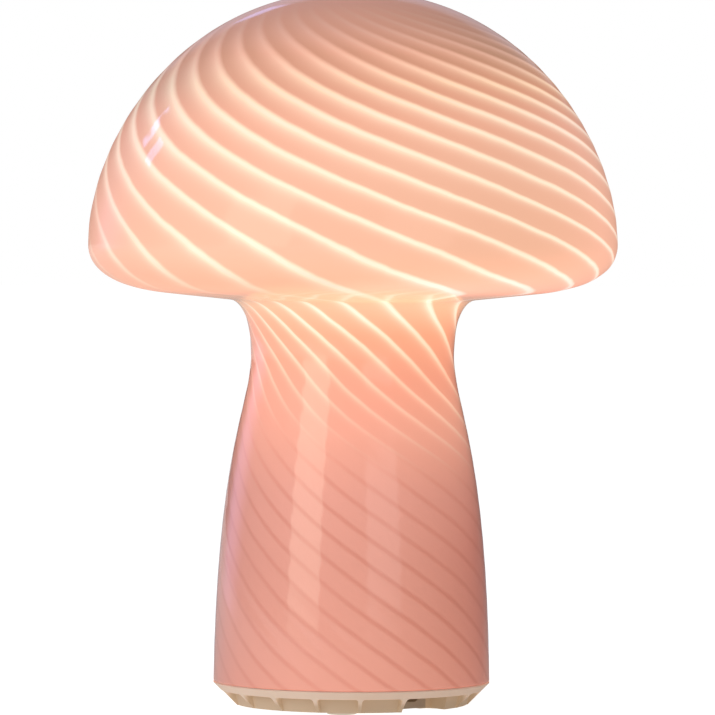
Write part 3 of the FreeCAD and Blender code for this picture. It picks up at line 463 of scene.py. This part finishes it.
bulb_plastic = finished("bulb_plastic", moulded_skin, {
    "Colour": (0.84, 0.84, 0.82, 1.0), "Shade": (0.78, 0.77, 0.73, 1.0), "Grain": 3200.0,
    "Flow": 60.0, "Unevenness": 0.4, "Matt": 0.30, "Matt Spread": 0.06}, 0.000008)
board_mask = finished("board_mask", moulded_skin, {
    "Colour": (0.010, 0.11, 0.035, 1.0), "Shade": (0.020, 0.19, 0.06, 1.0), "Grain": 900.0,
    "Flow": 420.0, "Unevenness": 0.9, "Matt": 0.28, "Matt Spread": 0.10}, 0.00001)
driver_resin = finished("driver_resin", moulded_skin, {
    "Colour": (0.012, 0.012, 0.013, 1.0), "Shade": (0.022, 0.022, 0.024, 1.0), "Grain": 3500.0,
    "Flow": 200.0, "Unevenness": 0.6, "Matt": 0.50, "Matt Spread": 0.15}, 0.00001)
white_mask = finished("white_mask", moulded_skin, {
    "Colour": (0.80, 0.80, 0.79, 1.0), "Shade": (0.72, 0.73, 0.72, 1.0), "Grain": 1400.0,
    "Flow": 300.0, "Unevenness": 0.7, "Matt": 0.40, "Matt Spread": 0.10}, 0.00001)
phosphor = lit(finished("phosphor", moulded_skin, {
    "Colour": (0.85, 0.62, 0.10, 1.0), "Shade": (0.80, 0.52, 0.06, 1.0), "Grain": 2600.0,
    "Flow": 500.0, "Unevenness": 0.8, "Matt": 0.45, "Matt Spread": 0.10}, 0.00001),
    (1.0, 0.78, 0.45, 1.0), 3.0)
opal_globe = lit(finished("opal_globe", moulded_skin, {
    "Colour": (0.88, 0.86, 0.80, 1.0), "Shade": (0.84, 0.80, 0.72, 1.0), "Grain": 1500.0,
    "Flow": 40.0, "Unevenness": 0.5, "Matt": 0.42, "Matt Spread": 0.06}, 0.00001,
    Subsurface_Weight=0.1), (1.0, 0.80, 0.56, 1.0), 2.0)
dress(bulb_plastic, "bulb_body")
dress(board_mask, "bulb_driver_board")
dress(driver_resin, "bulb_driver_parts")
dress(white_mask, "bulb_led_board")
dress(phosphor, "bulb_led_chips")
dress(opal_globe, "bulb_diffuser")


# ------------------------------------------------------------------ glass
# Cap, neck and stem are one blown piece of pink opal glass, 3 mm thick. White rods laid
# on the gather were twisted as it was blown, so twenty-four stripes wind down it. They
# are lost in the thick top of the dome and pale away on the stem.
stripes = 24
wall, relief = 3.0, 0.10        # mm, as all sizes of the outline
cap_radius, cap_top, cap_widest = 90.0, 243.5, 157.0
waist_radius, waist_height = 34.6, 119.5
rim_radius, rim_height, rim_round = 47.0, 8.95, 0.4
rim_arc = 327.0                 # along the outline, from the top to the rim


def bezier(a, b, c, d, count=240):
    """Points of a cubic curve, without its last."""
    points = []
    for i in range(count):
        t = i / count
        s = 1.0 - t
        points.append(tuple(s ** 3 * p + 3 * s * s * t * q + 3 * s * t * t * u + t ** 3 * v
                            for p, q, u, v in zip(a, b, c, d)))
    return points


def glass_outline():
    """The outer outline, from the top of the dome to the rim: four curves, each with the
    reach of its two handles, and a straight run under the cap."""
    slope, lean = math.radians(5.85), math.radians(0.8)
    under = (63.5, 140.75)
    neck_radius = 41.5
    neck = (neck_radius, under[1] - (under[0] - neck_radius) * math.tan(slope))
    widest = (cap_radius, cap_widest)
    waist = (waist_radius, waist_height)
    rim = (rim_radius, rim_height)
    points = bezier((0.0, cap_top), (58.0, cap_top), (cap_radius, cap_widest + 36.0), widest)
    points += bezier(widest, (cap_radius, cap_widest - 4.7),
                     (under[0] + 23.5 * math.cos(slope), under[1] + 23.5 * math.sin(slope)), under)
    points += evenly(under, neck, 0.25)
    points += bezier(neck, (neck[0] - 1.2 * math.cos(slope), neck[1] - 1.2 * math.sin(slope)),
                     (waist_radius, waist_height + 17.0), waist)
    points += bezier(waist, (waist_radius, waist_height - 17.0),
                     (rim_radius - 80.0 * math.sin(lean), rim_height + 80.0 * math.cos(lean)), rim)
    return points + [rim]


def spaced(points, step):
    """Points set out again at even steps, each with its distance along the outline."""
    total = sum(math.dist(p, q) for p, q in zip(points, points[1:]))
    count = round(total / step)
    result, travelled, i = [], 0.0, 0
    for wanted in (total * k / count for k in range(count)):
        while travelled + math.dist(points[i], points[i + 1]) < wanted:
            travelled += math.dist(points[i], points[i + 1])
            i += 1
        share = (wanted - travelled) / math.dist(points[i], points[i + 1])
        result.append((*(p + (q - p) * share for p, q in zip(points[i], points[i + 1])), wanted))
    return result + [(*points[-1], total)]


def set_in(points, depth):
    """The same points moved into the wall, square to the outline."""
    result = []
    for i, (r, z, along) in enumerate(points):
        before, after = points[max(i - 1, 0)], points[min(i + 1, len(points) - 1)]
        step = (after[0] - before[0], after[1] - before[1])
        size = math.hypot(*step)
        result.append((max(r + depth * step[1] / size, 0.0), z - depth * step[0] / size, along))
    return result


winding = (             # mm from the top, pitches wound, and more at the front and right
    (0, -16.570, -2.140, -4.750), (30, -13.236, -1.298, -2.714), (60, -10.171, -0.818, -1.254),
    (80, -8.256, -0.662, -0.626), (100, -6.220, -0.610, -0.170), (112, -4.997, -0.619, 0.002),
    (122, -4.056, -0.576, 0.154), (130, -3.325, -0.563, 0.343), (138, -2.613, -0.588, 0.571),
    (145, -2.095, -0.625, 0.840), (152, -1.700, -0.670, 1.190), (160, -1.380, -0.725, 1.560),
    (168, -1.150, -0.802, 1.740), (176, -0.940, -0.887, 1.650), (184, -0.700, -0.979, 1.400),
    (192, -0.380, -1.078, 1.100), (200, 0.240, -1.160, 0.850), (208, 1.105, -1.200, 0.667),
    (216, 1.989, -1.233, 0.449), (226, 3.006, -1.238, 0.252), (238, 4.325, -1.222, 0.172),
    (252, 5.971, -1.197, 0.149), (270, 7.918, -1.103, 0.077), (290, 9.983, -0.888, 0.021),
    (327, 13.332, -0.109, 0.134))


def wound(along):
    """How far the stripes have wound at a place along the outline: a smooth curve through
    the rows of the table."""
    last = len(winding) - 1
    k = min(max(i for i, row in enumerate(winding) if row[0] <= along), last - 1)
    before, here, after, beyond = (winding[min(max(i, 0), last)] for i in range(k - 1, k + 3))
    span = after[0] - here[0]
    t = (along - here[0]) / span
    weights = (2 * t ** 3 - 3 * t * t + 1, t ** 3 - 2 * t * t + t, 3 * t * t - 2 * t ** 3,
               t ** 3 - t * t)
    values = []
    for column in (1, 2, 3):
        leave = span * (after[column] - before[column]) / (after[0] - before[0])
        arrive = span * (beyond[column] - here[column]) / (beyond[0] - here[0])
        parts = (here[column], leave, after[column], arrive)
        values.append(sum(weight * part for weight, part in zip(weights, parts)))
    return values


def glass_row(r, z, along, relief_here):
    """One row of the glass."""
    return (r * MM, z * MM, along / rim_arc, *wound(along), relief_here)


def glass_rows():
    """The rows of the whole glass: down the outside, round the rim, up the inside."""
    outside = spaced(glass_outline(), 1.1)
    inside = set_in(spaced(glass_outline(), 5.0), wall)
    rim_top, rim_inner, bevel = rim_height + rim_round, rim_radius - wall, 0.3 * rim_round
    outside = [p for p in outside if p[1] > rim_top]
    inside = [p for p in inside if p[1] > rim_top]
    rim = [(rim_radius, rim_top), (rim_radius - bevel, rim_height + bevel),
           (rim_radius - rim_round, rim_height), (rim_inner + rim_round, rim_height),
           (rim_inner + bevel, rim_height + bevel), (rim_inner, rim_top)]
    rows = []
    # the ridges rise on the dome, lie lower on the stem and end at the rim
    start, rise, stem, drop, least, end = 40.0, 35.0, 250.0, 40.0, 0.35, 6.0
    for r, z, along in outside:
        on_dome = min(max((along - start) / rise, 0.0), 1.0)
        on_stem = min(max((stem - along) / drop, least), 1.0)
        at_rim = min(max((rim_arc - along) / end, 0.0), 1.0)
        rows.append(glass_row(r, z, along, on_dome * at_rim * on_stem))
    rows += [glass_row(r, z, rim_arc, 0.0) for r, z in rim]
    rows += [glass_row(r, z, along, 0.0) for r, z, along in reversed(inside)]
    return rows


def arc_ramp(tree, along, stops):
    """A colour along the outline, from stops of (mm from the top, colour)."""
    ramp = add(tree, "ShaderNodeValToRGB", {"Fac": along})
    steps = ramp.color_ramp.elements
    while len(steps) < len(stops):
        steps.new(0.5)
    for step, (place, colour) in zip(steps, stops):
        step.position = place / rim_arc
        step.color = (*colour, 1.0)
    ramp.color_ramp.interpolation = "LINEAR"
    return ramp.outputs["Color"]


def make_opal_glass():
    """Pink opal glass with the white twist. Its emission stands for the light inside, and at the
    left and right edges also for painted light and shade.
    Ranges of millimetres and of reach count mm along the outline, from the top."""
    material = bpy.data.materials.new("opal_glass")
    material.use_nodes = True
    tree = material.node_tree
    shader = tree.nodes["Principled BSDF"]
    place = add(tree, "ShaderNodeTexCoord").outputs["Object"]
    unrolled = add(tree, "ShaderNodeUVMap", uv_map="unrolled").outputs["UV"]
    split = add(tree, "ShaderNodeSeparateXYZ", {0: unrolled}).outputs
    along = split["Y"]
    millimetres = maths(tree, "MULTIPLY", along, rim_arc)
    # the rods never lie quite evenly
    sway = maths(tree, "MULTIPLY_ADD", noise(tree, place, 22.0, 2.0), 0.16, -0.08)
    tremble = maths(tree, "MULTIPLY_ADD", noise(tree, place, 160.0, 1.0), 0.05, -0.025)
    phase = maths(tree, "ADD", split["X"], maths(tree, "ADD", sway, tremble))
    below = maths(tree, "FRACT", maths(tree, "MULTIPLY", phase, -1.0))
    # each stripe has a crisp upper edge and melts away below
    edge = between(tree, millimetres, 55.0, 125.0, 0.40, 0.15, "LINEAR")
    tail = between(tree, millimetres, 60.0, 132.0, 0.36, 0.09, "LINEAR")
    tail = maths(tree, "MULTIPLY", tail, between(tree, millimetres, 180.0, 200.0, 1.0, 1.35))
    side = add(tree, "ShaderNodeSeparateXYZ", {0: place}).outputs["X"]
    tail = maths(tree, "MULTIPLY", tail, maths(tree, "MULTIPLY_ADD", side, -3.0, 1.0))
    falling = maths(tree, "EXPONENT", maths(tree, "DIVIDE", maths(
        tree, "MULTIPLY", maths(tree, "MAXIMUM", maths(tree, "SUBTRACT", below, 0.03), 0.0), -1.0),
        tail))
    rising = between(tree, below, maths(tree, "SUBTRACT", 1.0, edge), 0.97)
    stripe = maths(tree, "MAXIMUM", falling, rising)
    stripe = maths(tree, "MULTIPLY", stripe, between(tree, millimetres, 26.0, 70.0))
    # how far a spot is seen edge on, and whether that is at the left or at the right, where the
    # edges get different painted light
    facing = add(tree, "ShaderNodeLayerWeight", {"Blend": 0.5}).outputs["Facing"]
    edge_on = maths(tree, "POWER", maths(tree, "MULTIPLY", facing, 1.5),
                    between(tree, millimetres, 200.0, 250.0, 2.0, 1.0))
    right_side_mask_for_painted_edges = between(tree, side, -0.03, 0.03)
    paler = maths(tree, "MULTIPLY", maths(tree, "MULTIPLY", edge_on, between(
        tree, side, -0.03, 0.03, 0.45, 0.0)), between(tree, millimetres, 105.0, 135.0))
    paler = maths(tree, "MULTIPLY", paler, between(tree, millimetres, 212.0, 224.0, 1.0, 0.0))
    stripe = maths(tree, "MULTIPLY", stripe, maths(tree, "SUBTRACT", 1.0, paler))
    # the white gives out on the stem, lowest at the right, and leaves a darker line
    reach = maths(tree, "MULTIPLY_ADD", side, -230.0, millimetres)
    white = maths(tree, "MULTIPLY", stripe, between(tree, reach, 206.0, 254.0, 1.0, 0.0))
    off_line = maths(tree, "ABSOLUTE", maths(tree, "SUBTRACT", maths(
        tree, "FRACT", maths(tree, "ADD", phase, 0.55)), 0.5))
    dark = maths(tree, "MULTIPLY", between(tree, off_line, 0.02, 0.18, 1.0, 0.0),
                 between(tree, reach, 228.0, 276.0))
    dark = maths(tree, "MULTIPLY", dark, between(tree, noise(tree, place, 28.0, 2.0), 0.3, 0.7,
                                                 0.6, 1.0))
    cloud = between(tree, noise(tree, place, 14.0, 3.0), 0.3, 0.7, 0.0, 1.0)
    glow_ground = arc_ramp(tree, along, [
        (0.0, (0.490, 0.242, 0.180)), (30.0, (0.535, 0.261, 0.196)),
        (50.0, (0.500, 0.236, 0.150)), (66.0, (0.475, 0.214, 0.110)),
        (80.0, (0.575, 0.250, 0.140)), (95.0, (0.705, 0.342, 0.209)),
        (112.0, (0.740, 0.410, 0.263)), (138.0, (0.780, 0.440, 0.275)),
        (152.0, (0.850, 0.460, 0.270)), (166.0, (1.000, 0.500, 0.280)),
        (198.0, (0.739, 0.485, 0.274)), (208.0, (0.708, 0.328, 0.170)),
        (222.0, (0.660, 0.274, 0.167)), (242.0, (0.645, 0.287, 0.196)),
        (262.0, (0.563, 0.245, 0.180)), (285.0, (0.525, 0.222, 0.158)),
        (320.0, (0.552, 0.232, 0.160))])
    glow_stripe = arc_ramp(tree, along, [
        (0.0, (0.458, 0.228, 0.159)), (40.0, (0.600, 0.300, 0.215)),
        (50.0, (0.637, 0.316, 0.233)), (66.0, (0.820, 0.390, 0.250)),
        (73.0, (0.890, 0.505, 0.328)), (80.0, (0.950, 0.635, 0.405)),
        (95.0, (0.980, 0.755, 0.530)), (112.0, (1.000, 0.775, 0.545)),
        (138.0, (1.000, 0.800, 0.570)), (158.0, (1.000, 0.850, 0.610)),
        (172.0, (1.000, 0.870, 0.630)), (200.0, (1.000, 0.880, 0.670)),
        (208.0, (0.947, 0.710, 0.480)), (222.0, (0.870, 0.500, 0.325)),
        (250.0, (0.820, 0.600, 0.460))])
    glow = mixed(tree, white, glow_ground, glow_stripe)
    glow = mixed(tree, dark, glow, (0.81, 0.67, 0.60, 1.0), "MULTIPLY")
    glow = mixed(tree, maths(tree, "MULTIPLY", cloud, 0.06), glow, (0.45, 0.20, 0.14, 1.0))
    # the light that leaves the wall edge on, where 0.5 is as much as square on; the left and right
    # ramps add painted light and shade by side, brighter at the right of the cap, with a cool
    # painted sheen
    painted_edge_left = arc_ramp(tree, along, [
        (35.0, (0.42, 0.45, 0.47)), (50.0, (0.40, 0.43, 0.45)), (65.0, (0.37, 0.42, 0.46)),
        (80.0, (0.35, 0.42, 0.48)), (95.0, (0.42, 0.42, 0.46)), (125.0, (0.45, 0.44, 0.47)),
        (145.0, (0.43, 0.40, 0.40)), (160.0, (0.50, 0.47, 0.47)), (198.0, (0.50, 0.49, 0.49)),
        (204.0, (0.46, 0.37, 0.36)), (212.0, (0.40, 0.36, 0.37)), (222.0, (0.50, 0.50, 0.53)),
        (232.0, (0.45, 0.46, 0.48)), (245.0, (0.37, 0.38, 0.39)), (260.0, (0.29, 0.29, 0.30)),
        (327.0, (0.30, 0.29, 0.30))])
    painted_edge_right = arc_ramp(tree, along, [
        (35.0, (0.42, 0.45, 0.46)), (50.0, (0.40, 0.44, 0.46)), (65.0, (0.42, 0.50, 0.56)),
        (80.0, (0.55, 0.57, 0.60)), (95.0, (0.55, 0.555, 0.63)), (125.0, (0.60, 0.57, 0.62)),
        (145.0, (0.62, 0.57, 0.62)), (160.0, (0.64, 0.57, 0.66)), (198.0, (0.66, 0.55, 0.52)),
        (212.0, (0.58, 0.50, 0.49)), (232.0, (0.54, 0.56, 0.56)), (245.0, (0.49, 0.49, 0.49)),
        (260.0, (0.41, 0.38, 0.38)), (280.0, (0.36, 0.285, 0.285)),
        (300.0, (0.32, 0.245, 0.240)), (327.0, (0.34, 0.28, 0.275))])
    # painted light and shade: the ramp an edge gets depends on the side of the glass, not on the
    # light inside
    edge = mixed(tree, right_side_mask_for_painted_edges, painted_edge_left, painted_edge_right)
    edge_glow_with_painted_sides = mixed(tree, edge_on, (0.5, 0.5, 0.5, 1.0), edge)
    glow = mixed(tree, 1.0, glow, edge_glow_with_painted_sides, "MULTIPLY")
    tint = mixed(tree, maths(tree, "MULTIPLY", white, 0.35), (0.66, 0.32, 0.27, 1.0),
                 (0.85, 0.74, 0.68, 1.0))
    pits = maths(tree, "MULTIPLY_ADD", noise(tree, place, 170.0, 1.0), 0.35,
                 maths(tree, "MULTIPLY", noise(tree, place, 60.0, 2.0), 0.9))
    height = maths(tree, "ADD", maths(tree, "MULTIPLY", white, 0.7), pits)
    bump = add(tree, "ShaderNodeBump", {"Height": height, "Distance": 0.00010, "Strength": 1.0})
    tree.links.new(tint, shader.inputs["Base Color"])
    tree.links.new(glow, shader.inputs["Emission Color"])
    tree.links.new(bump.outputs["Normal"], shader.inputs["Normal"])
    tree.links.new(between(tree, cloud, 0.0, 1.0, 0.42, 0.50), shader.inputs["Roughness"])
    shader.inputs["Emission Strength"].default_value = 2.0
    shader.inputs["Specular IOR Level"].default_value = 0.2
    coat = between(tree, millimetres, 150.0, 210.0, 0.45, 1.0)
    tree.links.new(coat, shader.inputs["Coat Weight"])
    shader.inputs["Coat Roughness"].default_value = 0.05
    shader.inputs["Coat IOR"].default_value = 1.5
    return material


opal_glass = make_opal_glass()
blown_glass = turned_piece("blown_glass", glass_rows(), opal_glass, 240, stripes, relief * MM)
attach(blown_glass, "shade")
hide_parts("glass_shade")


# ------------------------------------------------------------------ twist lock and seals
# A white collar with three lugs is bonded inside the glass rim with clear silicone and
# hooks under the lugs of the drum. The rim itself rests on a soft clear gasket.
collar_plastic = finished("collar_plastic", moulded_skin, {
    "Colour": (0.82, 0.80, 0.76, 1.0), "Shade": (0.76, 0.73, 0.68, 1.0), "Grain": 2800.0,
    "Flow": 50.0, "Unevenness": 0.5, "Matt": 0.45, "Matt Spread": 0.10}, 0.00001)
clear_silicone = finished("clear_silicone", moulded_skin, {
    "Colour": (0.72, 0.70, 0.66, 1.0), "Shade": (0.62, 0.60, 0.55, 1.0), "Grain": 1200.0,
    "Flow": 90.0, "Unevenness": 0.5, "Matt": 0.35, "Matt Spread": 0.08}, 0.00002,
    Subsurface_Weight=0.3)
dress(collar_plastic, "shade_collar")
dress(clear_silicone, "collar_adhesive", "rim_gasket")


# ------------------------------------------------------------------ studio
# A pale floor under an even white surround. A tall soft light stands at the left front
# and a weaker one at the right. Cool ones behind the lamp draw its edges: a wide faint one,
# a pinkish one at the far left and three small ones that the dome mirrors.
def make_floor():
    """A wide pale floor, which isn't part of the lamp."""
    material = bpy.data.materials.new("pale_floor")
    material.use_nodes = True
    tree = material.node_tree
    shader = tree.nodes["Principled BSDF"]
    place = add(tree, "ShaderNodeTexCoord").outputs["Object"]
    tone = between(tree, noise(tree, place, 3.0, 4.0), 0.3, 0.7, 0.0, 1.0)
    shader.inputs["Roughness"].default_value = 0.9
    shader.inputs["Specular IOR Level"].default_value = 0.1
    tree.links.new(mixed(tree, tone, (0.80, 0.79, 0.78, 1.0), (0.84, 0.83, 0.82, 1.0)),
                   shader.inputs["Base Color"])
    # almost white to the eye, with a painted shadow round the foot that makes it a little
    # darker there, and brighter at the left for what it throws back on the lamp
    seen = add(tree, "ShaderNodeLightPath").outputs["Is Camera Ray"]
    reach = add(tree, "ShaderNodeVectorMath", {0: place}, operation="LENGTH").outputs["Value"]
    lift_with_painted_shadow = between(tree, reach, 0.045, 0.10, 0.92, 1.0)
    across = add(tree, "ShaderNodeSeparateXYZ", {0: place}).outputs["X"]
    bounce = between(tree, across, -0.7, 0.5, 0.42, 0.05)
    strength = add(tree, "ShaderNodeMix", {0: seen, 2: bounce, 3: lift_with_painted_shadow},
                   data_type="FLOAT").outputs[0]
    glow = add(tree, "ShaderNodeEmission", {"Color": (1.0, 1.0, 1.0, 1.0), "Strength": strength})
    both = add(tree, "ShaderNodeAddShader", {0: shader.outputs[0], 1: glow.outputs[0]})
    tree.links.new(both.outputs[0], tree.nodes["Material Output"].inputs["Surface"])
    half = 15.0
    mesh = bpy.data.meshes.new("floor")
    mesh.from_pydata([(-half, -half, 0), (half, -half, 0), (half, half, 0), (-half, half, 0)],
                     [], [(0, 1, 2, 3)])
    mesh.materials.append(material)
    floor = bpy.data.objects.new("floor", mesh)
    bpy.context.scene.collection.objects.link(floor)


def make_surround():
    """Even light from all round, white to the eye and softer on the lamp."""
    world = bpy.data.worlds.new("surround")
    bpy.context.scene.world = world
    world.use_nodes = True
    tree = world.node_tree
    tree.nodes.clear()
    seen = add(tree, "ShaderNodeLightPath").outputs["Is Camera Ray"]
    soft = add(tree, "ShaderNodeBackground", {"Color": (0.80, 0.78, 0.86, 1.0), "Strength": 0.07})
    white = add(tree, "ShaderNodeBackground", {"Color": (1.0, 1.0, 1.0, 1.0), "Strength": 1.0})
    both = add(tree, "ShaderNodeMixShader", {0: seen, 1: soft.outputs[0], 2: white.outputs[0]})
    add(tree, "ShaderNodeOutputWorld", {"Surface": both.outputs[0]})


def soft_light(name, turn, rise, distance, size, brightness, colour, soft_edge, only=""):
    """A rectangular light aimed at the lamp, fading towards its edges. Turn counts from the
    front towards the right, brightness is what the middle of its face shows. It can serve
    for the glossy reflections only, or for all but them."""
    light = bpy.data.lights.new(name, "AREA")
    light.shape = "RECTANGLE"
    light.size, light.size_y = size
    light.energy = brightness * math.pi * size[0] * size[1]
    light.color = colour
    light.use_nodes = True
    tree = light.node_tree
    across = add(tree, "ShaderNodeSeparateXYZ", {
        0: add(tree, "ShaderNodeNewGeometry").outputs["Parametric"]}).outputs
    fade = 1.0
    for socket, width in zip((across["X"], across["Y"]), soft_edge):
        from_edge = maths(tree, "SUBTRACT", 0.5, maths(tree, "ABSOLUTE", maths(
            tree, "SUBTRACT", socket, 0.5)))
        fade = maths(tree, "MULTIPLY", fade, between(tree, from_edge, 0.0, width))
    tree.links.new(fade, tree.nodes["Emission"].inputs["Strength"])
    holder = bpy.data.objects.new(name, light)
    bpy.context.scene.collection.objects.link(holder)
    around, up = math.radians(turn), math.radians(rise)
    holder.location = (distance * math.sin(around) * math.cos(up),
                       -distance * math.cos(around) * math.cos(up),
                       half_height + distance * math.sin(up))
    holder.rotation_mode = "XYZ"
    holder.rotation_euler = (math.pi / 2 - up, 0.0, around)
    holder.visible_diffuse = only != "glossy"
    holder.visible_glossy = only != "diffuse"


half_height = 0.12
make_floor()
make_surround()
soft_light("window_left", -41.0, 13.0, 2.4, (1.30, 1.45), 2.2, (1.0, 0.94, 0.76), (0.07, 0.18),
           "glossy")
soft_light("key_left", -50.0, 20.0, 2.4, (1.6, 1.4), 4.0, (0.95, 0.95, 1.0), (0.25, 0.25),
           "diffuse")
soft_light("window_right", 28.0, 9.0, 2.6, (1.5, 1.1), 1.0, (1.0, 0.93, 0.90), (0.10, 0.25))
soft_light("rim_left", -128.0, 3.0, 1.5, (1.2, 0.7), 1.0, (0.85, 0.58, 1.0), (0.45, 0.4))
soft_light("back_wall", 180.0, 21.0, 2.4, (1.9, 1.0), 0.60, (0.60, 0.75, 1.0), (0.25, 0.25),
           "glossy")
soft_light("pane_left", -126.5, 28.5, 2.2, (0.25, 0.26), 8.0, (0.30, 0.50, 1.0), (0.15, 0.15),
           "glossy")
soft_light("pane_right", -114.5, 26.0, 2.2, (0.25, 0.30), 8.0, (0.30, 0.50, 1.0), (0.15, 0.15),
           "glossy")
soft_light("cool_back", -169.0, 27.0, 2.2, (0.24, 0.30), 2.2, (0.35, 0.45, 1.0), (0.25, 0.25),
           "glossy")


# ------------------------------------------------------------------ camera
# Set 1.8 m in front of the lamp, about level with the edge of the cap, with a long lens.
# The frame cuts off the top of the dome, as in the photograph.
lens = bpy.data.cameras.new("camera")
lens.lens = 266.4
lens.sensor_width = 36.0
lens.clip_start, lens.clip_end = 0.1, 60.0
camera = bpy.data.objects.new("camera", lens)
bpy.context.scene.collection.objects.link(camera)
camera_distance, camera_height = 1.8, 0.1602
camera_down, camera_left = math.radians(1.314), math.radians(0.2)
camera.location = (0.0017, -camera_distance, camera_height)
camera.rotation_mode = "ZYX"
camera.rotation_euler = (math.radians(90.0) - camera_down, 0.0, camera_left)
bpy.context.scene.camera = camera
bpy.context.scene.view_settings.view_transform = "Standard"
